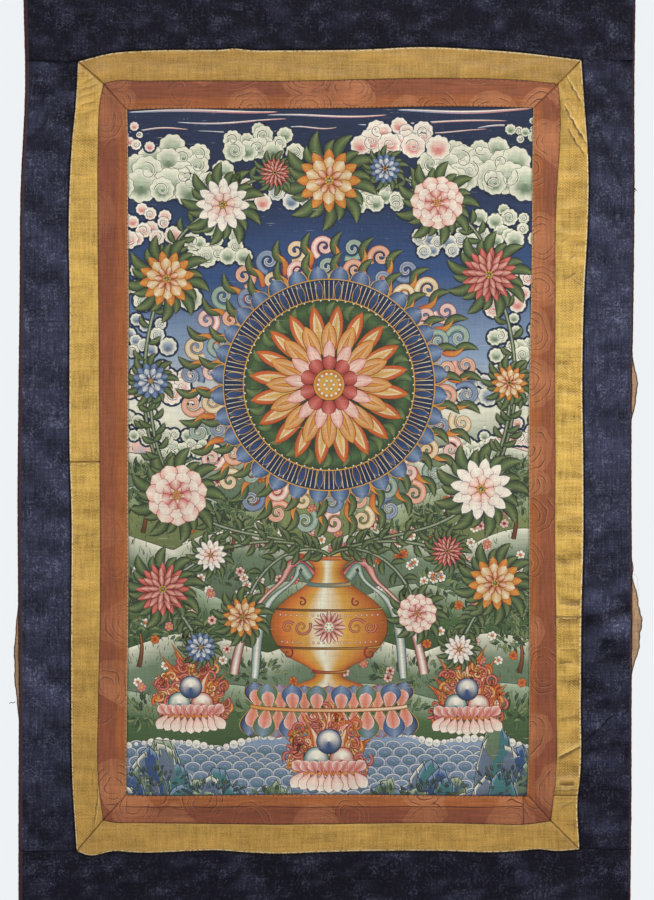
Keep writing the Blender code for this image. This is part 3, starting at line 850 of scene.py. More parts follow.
# %% Blue damask
# x and z of both ends, width of the shaded side, darkness: painted shade along the folds of the blue
# silk, to the right of the way from the first end to the second
BLUE_LINES = (
    (254.5, -862, 270, -848, 4.0, 1.0), (267, -851, 287, -832, 3.2, 0.95),
    (255, -736, 304, -722, 15.0, 0.5), (258, -782, 304, -770, 14.0, 0.45),
    (258, -676, 304, -668, 10.0, 0.3), (293, -310, 264, -236, 7.0, 0.5),
    (-263, -216, -290, -262, 8.0, 0.4),
)


def blue_damask():
    """Dark blue silk with pale sprays. Both are paler where its table of heights says, and paler on the
    crests of its folds, which is painted light, and darker in their hollows, which is painted shade. It
    has dark red at its edge.
    """
    made, tree, place, weave, worn = start_cloth("blue_damask", 0.6, 0.12, 0.015, 1.9, 1.0)
    figure = use(tree, sprays, Place=place)["Figure"]
    crest = number(tree, "crest")
    # the fold height is added to how pale the silk is: painted light on the crests of the folds, painted
    # shade in their hollows
    paleness = calc(tree, "MULTIPLY_ADD", crest, 0.3, number(tree, "paleness"), clamp=True)
    zone = between(tree, noise(tree, place, 0.04, 2.0), 0.38, 0.62, 0.3, 1.0)
    shown = times(tree, zone, between(tree, paleness, 0.0, 0.2, 0.7, 1.0))
    ground = mixed(tree, paleness, (0.0050, 0.0042, 0.0110, 1), (0.047, 0.050, 0.091, 1))
    raised = mixed(tree, paleness, (0.032, 0.033, 0.054, 1), (0.120, 0.130, 0.195, 1))
    lit = times(tree, times(tree, figure, shown), 1.6, clamp=True)
    soft = off(tree, noise(tree, place, 0.07, 2.0))
    fine = off(tree, worn["Fine"])
    tone = summed(tree, weave["Tone"], (worn["Fade"], 0.22), (fine, 2.0), (soft, 0.7))
    colour = coats(
        tree,
        toned(tree, mixed(tree, lit, ground, raised), tone),
        # painted shade along the folds listed in BLUE_LINES
        (times(tree, creased(tree, BLUE_LINES), 1.0, clamp=True), (0.004, 0.003, 0.006)),
        (near(tree, "edge_mm", 1.8, 3.4, 0.9), (0.052, 0.030, 0.032)),
        # painted shadow: a near-black line on the blue beside the gold's raised edge
        (near(tree, "seam_mm", 1.4, 3.4, 0.95), (0.002, 0.0015, 0.002)),
    )
    return finished(made, colour, summed(tree, weave["Height"], (figure, 0.35)), 0.3, 0.8)


# %% Lining and thread
def lining_cotton():
    """Plain tan cotton, darker along its outer rim, which is painted shade."""
    made, tree, place, weave, worn = start_cloth("tan_cotton", 0.9, 0.2, 0.1, 1.6, 0.8)
    fine = off(tree, worn["Fine"])
    tone = summed(tree, weave["Tone"], (worn["Fade"], 0.16), (fine, 1.6), (worn["Marks"], -0.16))
    colour = toned(tree, (0.40, 0.255, 0.15, 1), tone)
    # painted shade: darker within two millimetres of the lining's edge
    colour = coats(tree, colour, (near(tree, "seam_mm", 0.3, 2.0, 0.95), (0.040, 0.020, 0.016)))
    return finished(made, colour, weave["Height"], 0.4, 0.9)


def sewing_thread(name, colour):
    """Thread: one colour, uneven, with a twist that stands out as slanting ribs."""
    made, tree, shader = new_material(name, 0.8, 0.25)
    place = object_place(tree)
    tone = between(tree, noise(tree, place, 0.8, 2.0), 0.3, 0.7, 0.7, 1.3)
    ribs = {"Vector": place, "Scale": 0.35}
    twist = add(tree, "TexWave", ribs, bands_direction="DIAGONAL").outputs["Fac"]
    return finished(made, toned(tree, (*colour, 1), tone), twist, 0.2, 0.7)


gold = gold_silk()
terracotta = terracotta_silk()
blue = blue_damask()
cotton = lining_cotton()
dark_thread = sewing_thread("dark_thread", (0.045, 0.02, 0.013))
red_thread = sewing_thread("dark_red_thread", (0.055, 0.018, 0.020))
pale_thread = sewing_thread("pale_thread", (0.45, 0.33, 0.2))
print("silks, lining and threads ready")

# %% [markdown]
# ## The border strips
#
# Each strip is a loft between two seam lines, with its points crowded towards both edges, because
# that is where the cloth turns under. The turned edge makes the silk stand up from its neighbour
# and roll down into the seam. Stitches pull the edge into small puckers.

# %% Build a strip
LIFT = {"red": 0.55, "gold": 1.0}  # how far a strip stands out
EDGE_ROLL = 0.8  # how far from the seam it has risen by two thirds
BORDER = 29.0  # a strip's usual width
ROWS_ACROSS = 15
STEP_ALONG = 2.6
TUCK = 0.05  # how far short of the seam line a sheet stops
FAR = 50.0  # farther from the fold line than its shade reaches

#   x and z of both ends, rise, half-width: finer creases in the gold silk alone
GOLD_CREASES = (
    (236, -226, 258, -262, 1.5, 2.2), (239, -198, 254, -222, 1.2, 2.0),
    (240, -246, 258, -272, 0.9, 2.2), (230, -876, 256, -862, 1.0, 2.4),
    (229, -901, 252, -899, 1.1, 3.0), (-252, -206, -226, -197, 0.7, 3.0),
    (-254, -228, -228, -217, 0.8, 3.4), (-256, -248, -232, -240, 0.5, 3.4),
    (229, -737.5, 255, -737.5, -1.4, 1.6), (229, -733, 255, -733, 0.8, 3.0),
    (229, -915.2, 252, -915.2, -1.2, 1.5), (232, -647, 254, -648, -0.8, 6.0),
    (230, -678, 256, -676, -0.9, 6.0), (236, -719, 254, -721, -1.3, 5.0),
    (230, -757, 252, -760, -0.9, 5.0), (236, -784, 254, -782, -0.8, 6.0),
    (236, -806, 250, -803, -1.2, 7.0), (230, -838, 252, -838, -0.6, 5.0),
    (231, -893, 250, -890, -1.3, 5.0), (-254, -628, -232, -630, -0.8, 8.0),
    (-254, -662, -232, -660, -0.7, 6.0), (-252, -700, -234, -702, 0.6, 8.0),
    (-254, -760, -232, -758, -0.6, 7.0), (-254, -800, -232, -802, -0.6, 8.0),
    (231, -725, 250, -725, 0.5, 1.6), (232, -741.5, 250, -741.0, -0.7, 1.8),
    (234, -771.5, 248, -771.0, -0.6, 1.8), (236, -851, 250, -846, 0.6, 3.0),
    (233, -925, 246, -922, -0.5, 3.0), (-257, -582.5, -227, -581.5, -1.0, 1.4),
    (-217, -888, -227, -925, 0.8, 2.0),
)
FOLD_LINE = -926.3  # the level fold that runs along the lower terracotta strip
RED_CREASES = (
    (-210, FOLD_LINE + 1, 196, FOLD_LINE + 1, 0.6, 2.2),
    (196, -915, 196, -944, -0.9, 1.3),
)


def crowded(count):
    """Shares from 0 to 1, close together at both ends: half of 1 less the cosine of a half turn."""
    return 0.5 - 0.5 * np.cos(np.linspace(0, math.pi, count))


def crossed(a, b):
    """The cross product of two arrays of flat arrows."""
    return a[..., 0] * b[..., 1] - a[..., 1] * b[..., 0]


def grid_area(grid):
    """Area inside a grid of (x, z) points: half the cross product of each cell's two diagonals,
    added up."""
    one_way, other_way = grid[1:, 1:] - grid[:-1, :-1], grid[1:, :-1] - grid[:-1, 1:]
    return float(np.abs(crossed(one_way, other_way)).sum() / 2)


def strip(name, side, line, start, stop, shift, turn, depths, figured=(0, 0, 0, 0)):
    """One length of silk, from share start to share stop of its side. Its height is the common
    surface, plus the rolled edge, puckers that fade away from the seam, and folds of its own."""
    ends = seam(side, line, np.array([0.0, 1.0]))
    length = np.linalg.norm(ends[1] - ends[0]) * (stop - start)
    shares = np.linspace(start, stop, int(length / STEP_ALONG) + 2)
    way = (shares - start) / (stop - start)
    outer, inner = seam(side, line, shares), seam(side, line - 1, shares)
    wide = np.linalg.norm(inner - outer, axis=1)
    t = TUCK / BORDER + crowded(ROWS_ACROSS)[:, None] * (1 - 2 * TUCK / BORDER)
    grid = outer[None] * (1 - t[..., None]) + inner[None] * t[..., None]
    x, z = grid[..., 0], grid[..., 1]
    from_outer, from_inner = t * wide, (1 - t) * wide
    along = np.broadcast_to(shares * length, x.shape)
    from_end = np.minimum(shares - start, stop - shares) * length / (stop - start) * 0.7
    edge = np.minimum(from_outer, from_inner)
    seed = sum(map(ord, name))
    pucker = 0.5 * ripples(along, from_outer * 0.3, seed, 9.0)
    if line == GOLD:
        colour, look = "gold", gold
        edge = np.minimum(edge, from_end)
        rolled = LIFT[colour] * (1 - np.exp(-edge / EDGE_ROLL))
        rolled = rolled + 0.55 * np.exp(-(((from_outer - 1.5) / 1.3) ** 2))
        soft = 0.55 if side == "right" else 0.35
        folds = soft * ripples(x, z, seed + 1, 17.0, 2.0) + ridges(x, z, GOLD_CREASES)
    else:
        colour, look = "terracotta", terracotta
        edge = np.minimum(edge, from_end + 0.15)
        rolled = LIFT["red"] * (1 - np.exp(-edge / EDGE_ROLL))
        folds = 0.16 * ripples(x, z, seed + 1, 24.0) + ridges(x, z, RED_CREASES)
    folds = folds * np.clip(edge / 2, 0, 1)
    pucker = pucker * np.exp(-edge / 5.0) * np.clip(edge / 1.5, 0, 1)
    # how deep the colour is along the strip; in the gold strips this is painted shade and sheen
    deep = np.broadcast_to(np.interp(way, (0, 0.5, 1), depths), x.shape)
    if name.startswith("red_bottom"):
        deep = deep + (1 - deep) * 0.5 * (1 + np.tanh((FOLD_LINE - z) / 0.9))
    numbers = {
        "outer_mm": from_outer,
        "inner_mm": from_inner,
        "seam_mm": edge,
        "crest": folds,
        "deep": deep,
        "figured": np.interp(way, (0, 0.3, 0.6, 1), figured) * (1.15 - 0.6 * deep),
        "upright_side": np.full(x.shape, float(side in ("left", "right"))),
        "above_fold": z - FOLD_LINE if name == "red_bottom" else np.full(x.shape, FAR),
    }
    points, flat, area = hung(x, z, rolled + pucker + folds), (np.ptp(x), np.ptp(z)), grid_area(grid)
    return cloth(name + "_silk", name, points, look, flat, numbers, turn, shift)


# %% Sew the strips
#   name, side, seam line, start, stop, shift and turn of the pattern, how deep the colour is at the
#   start, middle and end, from 0, the palest, to about 1, and how strongly the figure shows on the way.
#   In the gold strips the deeper colour is painted shade and sheen: darker where the light falls off
#   towards the ends, and where the silk shines less
QUARTER = math.pi / 2
STRIPS = (
    ("red_top", "top", RED, 0, 1, (0, 0), 0, (1, 0.7, 0.3), (1, 0.9, 1, 1)),
    ("red_bottom", "bottom", RED, 0, BOTTOM_JOIN, (330, 60), 0, (0.5, 0.25, 0.3), (1, 0.8, 1, 1)),
    ("red_bottom_end", "bottom", RED, BOTTOM_JOIN, 1, (90, 200), 0.3, (0.5, 0.5, 0.5), (1, 1, 1, 1)),
    ("red_left", "left", RED, 0, 1, (140, 370), QUARTER, (1, 0.4, 0.8), (1, 0, 0.25, 1.3)),
    ("red_right", "right", RED, 0, 1, (610, 130), QUARTER, (0.5, 0.15, 1.1), (1, 0.7, 0.8, 1.3)),
    ("gold_top", "top", GOLD, 0, 1, (0, 40), 0, (1, 0.8, 0.95)),
    ("gold_bottom", "bottom", GOLD, 0, 1, (210, 0), 0, (0.85, 0.68, 0.8)),
    ("gold_left_upper", "left", GOLD, 0, LEFT_JOIN, (370, 90), 0, (0.5, 0.15, 0.3)),
    ("gold_left_lower", "left", GOLD, LEFT_JOIN, 1, (540, 220), 0, (0.1, 0.6, 0.8)),
    ("gold_right_upper", "right", GOLD, 0, RIGHT_JOIN, (90, 700), 0, (0.5, 0, 0.05)),
    ("gold_right_middle", "right", GOLD, RIGHT_JOIN, LOW_RIGHT_JOIN, (190, 400), 0, (0, 0.4, 0.6)),
    ("gold_right_lower", "right", GOLD, LOW_RIGHT_JOIN, 1, (290, 100), 0, (0.6, 0.7, 0.8)),
)
for row in STRIPS:
    strip(*row)
print(len(STRIPS), "strips of silk")

# %% [markdown]
# ## The blue panels
#
# The side panels fill the space between the gold seam and the cloth's edge. The top and bottom
# ones run the full width, and each ends in a hem: the cloth goes round in a half circle and comes
# back behind the lining. One grid follows that whole way, so the hem is part of its panel.

# %% Blue cloth
BLUE_STEP = 4.0
BLUE_THICK = 0.8
SIDE_LENGTH = 790.0
END_MIDDLE = 502.0  # the gold seam's length at the top and the bottom
HEM_DEPTH = 27.0
RIM = {"left": 0.0, "right": 1.7}  # how much narrower the dark red along each edge is
#   how far down, and how pale the silk is there, from 0 to 1: palest part way down each side, darker
#   towards the top and the bottom
BLUE_PALENESS = {
    "left": ((170, 0.1), (270, 0.3), (420, 0.5), (620, 0.52), (820, 0.5), (920, 0.28), (980, 0.1)),
    "right": ((170, 0.1), (270, 0.32), (420, 0.72), (620, 0.5), (770, 0.25), (870, 0.15), (980, 0.06)),
    "top": ((0, 0.03),),
    "bottom": ((0, 0.02),),
}
SEEDS = {"left": 11, "right": 23, "top": 37, "bottom": 41}

#   x and z of both ends, rise, half-width: soft folds in the side panels
BLUE_CREASES = (
    (258, -742, 300, -726, -0.8, 7), (262, -760, 300, -744, 1.3, 7),
    (258, -722, 296, -704, 1.5, 8), (262, -200, 290, -232, 0.9, 6),
    (268, -240, 296, -280, 0.9, 6), (264, -300, 300, -330, 0.8, 7),
    (270, -560, 298, -575, 0.7, 8), (272, -640, 300, -628, 0.7, 8),
    (262, -848, 290, -838, 0.9, 7), (-300, -248, -268, -222, 0.8, 7),
    (-300, -300, -264, -286, 0.7, 8), (-302, -450, -262, -438, 0.6, 9),
    (-302, -640, -262, -655, 0.6, 8),
)


def blue_points(x, z, edge, seed):
    """Places on the blue cloth: the common surface with leaning ripples, calm at the top edge, and
    a dip where the gold silk is sewn over it."""
    broad, fine = ripples(x, z, seed, 42.0, 1.0, 0.5), ripples(x, z, seed + 1, 15.0, 1.0, -0.4)
    crest = ridges(x, z, BLUE_CREASES) + (0.6 * broad + 0.35 * fine) * np.clip(-z / 60 - 0.2, 0, 1)
    return hung(x, z, crest - 0.35 * np.exp(-edge / 2.0)), crest


def blue_cloth(side, points, flat, shift, from_seam, from_edge, crest):
    """The sheet of one panel, as pale at each height as its table says."""
    paleness = np.interp(-points[..., 2], *zip(*BLUE_PALENESS[side]))
    numbers = {"seam_mm": from_seam, "edge_mm": from_edge, "paleness": paleness, "crest": crest}
    name = "blue_" + side
    cloth(name + "_damask", name, points, blue, flat, numbers, 0, shift, BLUE_THICK)


def side_panel(side, shift):
    """A loft from the cloth's edge to the gold seam."""
    shares = np.linspace(0, 1, int(SIDE_LENGTH / BLUE_STEP))
    inner = seam(side, GOLD, shares)
    outer = np.stack([blue_edge(side, inner[:, 1]), inner[:, 1]], axis=1)
    t = crowded(15)[:, None]
    grid = outer * (1 - t[..., None]) + inner * t[..., None]
    wide = np.abs(inner[:, 0] - outer[:, 0])
    from_gold, from_edge = (1 - t) * wide, t * wide + RIM[side]
    points, crest = blue_points(grid[..., 0], grid[..., 1], from_gold, SEEDS[side])
    flat, area = (wide.max(), SIDE_LENGTH), float(wide.mean()) * SIDE_LENGTH
    blue_cloth(side, points, flat, shift, from_gold + 0.6, from_edge, crest)


def end_panel(side, shift):
    """The panel above or below the picture: rows from the gold seam to the hem's fold, the half
    circle of the fold, and the flap behind. A row at the seam follows it, and runs on straight to
    both edges of the cloth."""
    up = 1 if side == "top" else -1
    fold_z = -FOLD_RADIUS if side == "top" else FOLD_RADIUS - HANGING_HEIGHT
    middle = seam(side, GOLD, np.linspace(0, 1, int(END_MIDDLE / BLUE_STEP)))
    ends = []
    for edge, corner in (("left", middle[0]), ("right", middle[-1])):
        outside = np.array([blue_edge(edge, corner[1:])[0], corner[1]])
        t = np.linspace(0, 1, 13)[:, None]
        ends.append(outside * (1 - t) + corner * t)
    start = np.concatenate([ends[0][:-1], middle, ends[1][-2::-1]])
    share = (start[:, 0] - start[0, 0]) / (start[-1, 0] - start[0, 0])
    rows = int(abs(fold_z - start[:, 1].mean()) / BLUE_STEP)
    t = np.linspace(0, 1, rows)[:, None] ** 1.15
    z = start[:, 1] * (1 - t) + fold_z * t
    left, right = blue_edge("left", z[:, 0])[:, None], blue_edge("right", z[:, -1])[:, None]
    x = left + share * (right - left)
    front, crest = blue_points(x, z, np.abs(z - start[:, 1]), SEEDS[side])

    settle, calm = np.linspace(0, 1, 6)[:, None] ** 2, front[-6:, :, 1]
    calm[:] = calm * (1 - settle) + settle * (-FOLD_RADIUS - swell(x[-6:], z[-6:]))
    x, z = x[-1], z[-1]
    angle = np.linspace(0, math.pi, 13)[1:, None]
    half_circle = (-np.cos(angle) * FOLD_RADIUS - swell(x, z), z + up * np.sin(angle) * FOLD_RADIUS)
    back_z = z - up * np.linspace(2, HEM_DEPTH - FOLD_RADIUS, 9)[:, None]
    flap = (FOLD_RADIUS - swell(np.broadcast_to(x, back_z.shape), back_z), back_z)
    parts = [np.stack([np.broadcast_to(x, y.shape), y, at], axis=-1) for y, at in (half_circle, flap)]
    points = np.concatenate([front] + parts)

    on_seam = (start[:, 0] > middle[0, 0] - 1) & (start[:, 0] < middle[-1, 0] + 1)
    from_seam = np.abs(points[..., 2] - start[:, 1]) + np.where(on_seam, 0.6, 2.6)
    across = points[..., 0]
    from_edge = np.minimum(across - across[:, :1], across[:, -1:] - across + RIM["right"])
    crest = np.concatenate([crest, np.zeros((len(points) - len(crest), len(x)))])
    long = np.linalg.norm(np.diff(points[:, len(x) // 2], axis=0), axis=1).sum()
    blue_cloth(side, points, (x[-1] - x[0], long), shift, from_seam, from_edge, crest)


side_panel("left", (0, 0))
side_panel("right", (400, 100))
end_panel("top", (120, 700))
end_panel("bottom", (820, 300))
print("four blue panels")

# %% [markdown]
# ## The lining and the edging
#
# The lining is a plain cotton sheet behind everything. Where its seam has given way it slips out
# past the blue silk in a shallow bulge. The edging is a thin dark red thread laid along each long
# edge, a tube carried along the edge of the blue cloth.

# %% Lining
LINING_FRONT = -0.5
LINING_STEP = 3.0
LINING_COLUMNS = 60
LINING_END = 2.6  # how far it stops short of both folds
#   z of the middle, how far along the edge it reaches either way, how far out it shows
SLIPS = {"left": ((-782, 62, 4.6),), "right": ((-508, 34, 5.6), (-688, 9, 1.6), (-745, 52, 9.4))}
OUTWARD = {"left": -1, "right": 1}


def lining_edge(side, z):
    """x of the lining's edge: just outside the blue cloth, and further where it has slipped."""
    show = np.full_like(z, 1.3)
    for middle, reach, rise in SLIPS[side]:
        inside = np.clip(1 - ((z - middle) / reach) ** 2, 0, 1)
        show = show + rise * inside**1.5 * (1 + 0.1 * np.sin(z * 0.21) + 0.05 * np.sin(z * 0.67))
    return (blue_edge(side, z) + OUTWARD[side] * show)[:, None]


def lining():
    """One sheet from edge to edge, with loose folds that keep away from its four sides."""
    z = np.linspace(-LINING_END, LINING_END - HANGING_HEIGHT, int(HANGING_HEIGHT / LINING_STEP))
    left, right = lining_edge("left", z), lining_edge("right", z)
    across = crowded(LINING_COLUMNS) * 0.6 + np.linspace(0, 1, LINING_COLUMNS) * 0.4
    x = left + (right - left) * across
    z = np.broadcast_to(z[:, None], x.shape)
    edge = np.minimum(x - left, right - x)
    calm = np.clip(edge / 20, 0, 1) * np.clip(-z / 60, 0, 1) * np.clip((HANGING_HEIGHT + z) / 60, 0, 1)
    loose = 0.5 * ripples(x, z, 71, 60.0, 1.0, 0.8) * calm
    points = np.stack([x, LINING_FRONT - swell(x, z) + np.abs(loose), z], axis=-1)
    flat, numbers = ((right - left).max(), HANGING_HEIGHT), {"seam_mm": edge}
    cloth("lining_cotton", "lining", points, cotton, flat, numbers, shift=(50, 0))


lining()
print("lining")


# %% Tubes
def round_faces(count, rings, sides):
    """Faces of `count` tubes, each of so many rings of points with so many sides."""
    at = np.arange(count * rings * sides).reshape(count, rings, sides)
    after = np.roll(at, -1, axis=2)
    corners = (at[:, :-1], after[:, :-1], after[:, 1:], at[:, 1:])
    return np.stack(corners, axis=-1).reshape(-1, 4)


def tube(name, path, radius, material, sides=8):
    """Rings of points carried along a path (n x 3): each ring is square to the path."""
    way = np.gradient(path, axis=0)
    way /= np.linalg.norm(way, axis=1, keepdims=True)
    side = np.cross(way, np.array([0.0, 1.0, 0.0]) + 1e-6)
    side /= np.linalg.norm(side, axis=1, keepdims=True)
    over = np.cross(side, way)
    angle = np.linspace(0, 2 * math.pi, sides, endpoint=False)[None, :, None]
    ring = np.cos(angle) * side[:, None] + np.sin(angle) * over[:, None]
    points = path[:, None] + ring * np.reshape(radius, (-1, 1, 1))
    return mesh_object(name, points.reshape(-1, 3), round_faces(1, len(path), sides), material)


EDGING_RADIUS = 0.6
for side, out in OUTWARD.items():
    z = np.linspace(-FOLD_RADIUS, FOLD_RADIUS - HANGING_HEIGHT, 660)
    x = blue_edge(side, z) + out * 0.75
    wave = 0.12 * ripples(z, z * 0, 5, 8.0)
    path = np.stack([x + wave, -FOLD_RADIUS + 0.4 - swell(x, z) - wave, z], axis=1)
    radius = EDGING_RADIUS + 0.1 * np.sin(z * 2.1)
    keep(tube("edging_" + side + "_thread", path, radius, red_thread), "edging_" + side)
print("edging")

# %% [markdown]
# ## Stitches and loose threads
#
# The strips are sewn down by hand, and the thread shows as short slanting stitches: dark ones along
# both edges of the terracotta, and pale ones that draw in the outer edge of the gold. Each stitch is
# an arch of thread over the edge. All arches of a seam are worked out at once and become one mesh.

# %% Stitches
STITCH_SIDES = 5
STITCH_PROFILE = np.array([0.35, 0.9, 1.0, 0.9, 0.35])  # thickness from ring to ring
STITCH_SPAN = (0.004, 0.996)  # the shares of a side between which it is stitched
STITCH_GROUND = 0.55  # how far the borders stand out near their seams
PICTURE_CENTRE = np.array([0.0, -572.0])


def stitches(name, line, inwards, pitch, length, radius, slant, material, slot):
    """Short arches of thread along one seam line, all four sides of it. The middle of each is
    `inwards` millimetres inside the seam, towards the picture, and it stands across the seam,
    turned by `slant` radians. A point is the middle, plus the way along times its share, plus a
    ring of thread, and the arch rises as half a sine wave."""
    t = np.linspace(-0.5, 0.5, len(STITCH_PROFILE))
    spines, lies = [], []
    chance = np.random.default_rng(len(name))
    for side in SIDES:
        ends = seam(side, line, np.array([0.0, 1.0]))
        count = int(np.linalg.norm(ends[1] - ends[0]) / pitch)
        share = np.linspace(*STITCH_SPAN, count) + chance.uniform(-0.18, 0.18, count) / count
        here = seam(side, line, share)
        way = seam(side, line, share + 1e-3) - here
        way = way / np.linalg.norm(way, axis=1, keepdims=True)
        toward = np.stack([-way[:, 1], way[:, 0]], axis=1)
        toward *= np.sign(((PICTURE_CENTRE - here) * toward).sum(axis=1))[:, None]
        turn = slant + chance.normal(0, 0.25, count)
        lie = toward * np.cos(turn)[:, None] + way * np.sin(turn)[:, None]
        middle = here + toward * inwards
        reach = length * chance.uniform(0.75, 1.2, count)
        spines.append(middle[:, None] + lie[:, None] * t[None, :, None] * reach[:, None, None])
        lies.append(lie)
    spine, lie = np.concatenate(spines), np.concatenate(lies)
    angle = np.linspace(0, 2 * math.pi, STITCH_SIDES, endpoint=False)
    thin = radius * STITCH_PROFILE[None, :, None]
    beside = np.stack([-lie[:, 1], lie[:, 0]], axis=1)[:, None, None] * (np.cos(angle) * thin)[..., None]
    x, z = np.moveaxis(spine[:, :, None] + beside, -1, 0)
    arch = radius * 0.9 * np.cos(np.pi * t)
    surface = hung(spine[..., 0], spine[..., 1], STITCH_GROUND + arch)[..., 1]
    points = np.stack([x, surface[..., None] - np.sin(angle) * thin, z], axis=-1)
    faces = round_faces(len(spine), len(t), STITCH_SIDES)
    keep(mesh_object(name, points.reshape(-1, 3), faces, material))
    return len(spine)


#   name, seam line, how far inside it, pitch, length, radius, slant, thread, slot
STITCHES = (
    ("stitches_picture", PICTURE, -1.0, 4.4, 1.7, 0.30, 0.7, dark_thread, "edging_cord"),
    ("stitches_red", RED, 1.1, 5.6, 1.3, 0.26, 0.5, dark_thread, "edging_cord"),
    ("stitches_gold", GOLD, 0.2, 3.3, 1.6, 0.24, 0.2, pale_thread, "gold_silk"),
)
print(sum(stitches(*row) for row in STITCHES), "stitches")

# %% Loose threads
THREAD_POINTS = 26
#   name, thread, radius, points (x, how far in front, z)
LOOSE_THREADS = (
    ("loose_thread_left", dark_thread, 0.35, (
        (-311, 1.0, -821.2), (-313.5, 1.6, -822.4), (-315.6, 1.8, -822), (-317.4, 1.4, -823.6))),
    ("loose_thread_right", dark_thread, 0.45, (
        (305.6, 1.2, -307), (307.4, 1.9, -308.6), (308.2, 2.2, -310), (309.8, 1.8, -311.2))),
    ("loose_thread_right_end", dark_thread, 0.35, (
        (307.6, 2.0, -309.2), (306.9, 2.6, -310.8), (308.1, 2.2, -312.6))),
    ("loose_hair", pale_thread, 0.12, (
        (303.4, 1.0, -695), (307, 1.8, -694.4), (309.6, 2.0, -697), (309.8, 1.8, -704),
        (311.2, 1.6, -712), (310.4, 1.2, -721), (311.6, 1.0, -730))),
)


def smooth_path(keys, count):
    """A rounded line through a few points: each coordinate goes through smooth_through, against
    the distance along the straight lines between the points."""
    keys = np.array(keys, float)
    run = np.concatenate([[0], np.cumsum(np.linalg.norm(np.diff(keys, axis=0), axis=1))])
    at = np.linspace(0, run[-1], count)
    return np.stack([smooth_through(list(zip(run, keys[:, i])), at) for i in range(3)], axis=1)


for name, thread, radius, keys in LOOSE_THREADS:
    path = smooth_path(keys, THREAD_POINTS)
    path[:, 1] = -FOLD_RADIUS + 1.6 - path[:, 1] - swell(path[:, 0], path[:, 2])
    thin = radius * np.minimum(1, 0.35 + np.linspace(1, 0, THREAD_POINTS) * 2.2)
    keep(tube(name, path, thin, thread, 6))
print(len(LOOSE_THREADS), "loose threads")

# %% [markdown]
# ## The picture cloth
#
# The picture is painted on cotton primed with chalk and glue. The cloth itself is one sheet, and it
# carries only the ground colours, from dark sky to pale horizon, hills and water. Each point of a
# fine grid has its own colour, so no image is needed. Between two heights the colour is a mix.

# %% Paint colours
#   red, green and blue, from 0 to 255, as a painter would match them
PAINT = {
    "night": (22, 41, 72), "blue": (45, 76, 121), "haze": (132, 152, 176), "cream": (225, 221, 198),
    "mint": (172, 184, 156), "sage": (104, 124, 98), "forest": (38, 56, 42), "leaf": (70, 98, 60),
    "grass": (122, 134, 84), "teal": (62, 116, 118), "gold": (203, 152, 66), "amber": (198, 108, 46),
    "brick": (172, 62, 44), "crimson": (136, 36, 44), "rose": (208, 126, 118),
    "blush": (228, 186, 168), "white": (234, 226, 208), "umber": (82, 52, 36), "ink": (28, 26, 34),
    "slate": (98, 112, 132),
}
#   height above the picture's lower edge, paint
GROUND = (
    (0, "slate"), (62, "sage"), (110, "grass"), (200, "leaf"), (300, "grass"), (345, "sage"),
    (380, "cream"), (440, "haze"), (520, "blue"), (610, "night"), (690, "night"),
)
LOWER_EDGE = -915.0


def tint(name, light=1.0):
    """A paint in linear light: its share s of full brightness becomes ((s + 0.055) / 1.055) ** 2.4."""
    share = np.array(PAINT[name]) / 255
    return np.append(((share + 0.055) / 1.055) ** 2.4 * light, 1.0)


print(len(PAINT), "paints")


# %% Canvas
def picture_grid(step):
    """Points (x, z) inside the picture's four edges: each is the sum of the two lofts, less the
    loft of the corners, so that the grid meets every edge."""
    across, down = np.linspace(0, 1, int(402 / step)), np.linspace(0, 1, int(686 / step))
    top, bottom = seam("top", PICTURE, across), seam("bottom", PICTURE, across)
    left, right = seam("left", PICTURE, down), seam("right", PICTURE, down)
    a, d = across[None, :, None], down[:, None, None]
    upper = (1 - a) * (1 - d) * top[0] + a * (1 - d) * top[-1]
    corners = upper + (1 - a) * d * bottom[0] + a * d * bottom[-1]
    return (1 - d) * top + d * bottom + (1 - a) * left[:, None] + a * right[:, None] - corners


def paint_material():
    """Matt paint that carries its colours on the mesh. It has faint brush streaks, fine level cracks
    from being rolled, where the pale priming shows, small worn spots, and painted shade along the
    picture's edge, where the silk border stands over it."""
    made, tree, place, weave, worn = start_cloth("mineral_paint", 0.72, 0.2, 0.0, 0.35, 0.5)
    paint = add(tree, "Attribute", attribute_name="paint").outputs["Color"]
    tone = summed(tree, weave["Tone"], (worn["Fade"], 0.07), (off(tree, worn["Fine"]), 0.5))
    streak = noise(tree, scaled(tree, place, 0.028, 0.75), 1.0, 3.0, 0.75)
    region = between(tree, noise(tree, place, 0.02, 2.0), 0.42, 0.6)
    crack = times(tree, between(tree, streak, 0.645, 0.70), region)
    spot = between(tree, noise(tree, place, 0.5, 2.0, 0.6), 0.70, 0.76)
    bare = calc(tree, "MAXIMUM", times(tree, crack, 0.75), times(tree, spot, 0.5))
    colour = toned(tree, coats(tree, paint, (0.07, (0.26, 0.20, 0.13))), tone)
    # painted shade: darker within two millimetres of the picture's edge, where the silk border stands
    # over it
    rim = near(tree, "edge_mm", 0.2, 2.2, 0.45)
    colour = coats(tree, colour, (bare, (0.60, 0.57, 0.48)), (rim, (0.03, 0.02, 0.02)))
    return finished(made, colour, summed(tree, weave["Height"], (bare, -0.6)), 0.12, 0.7)


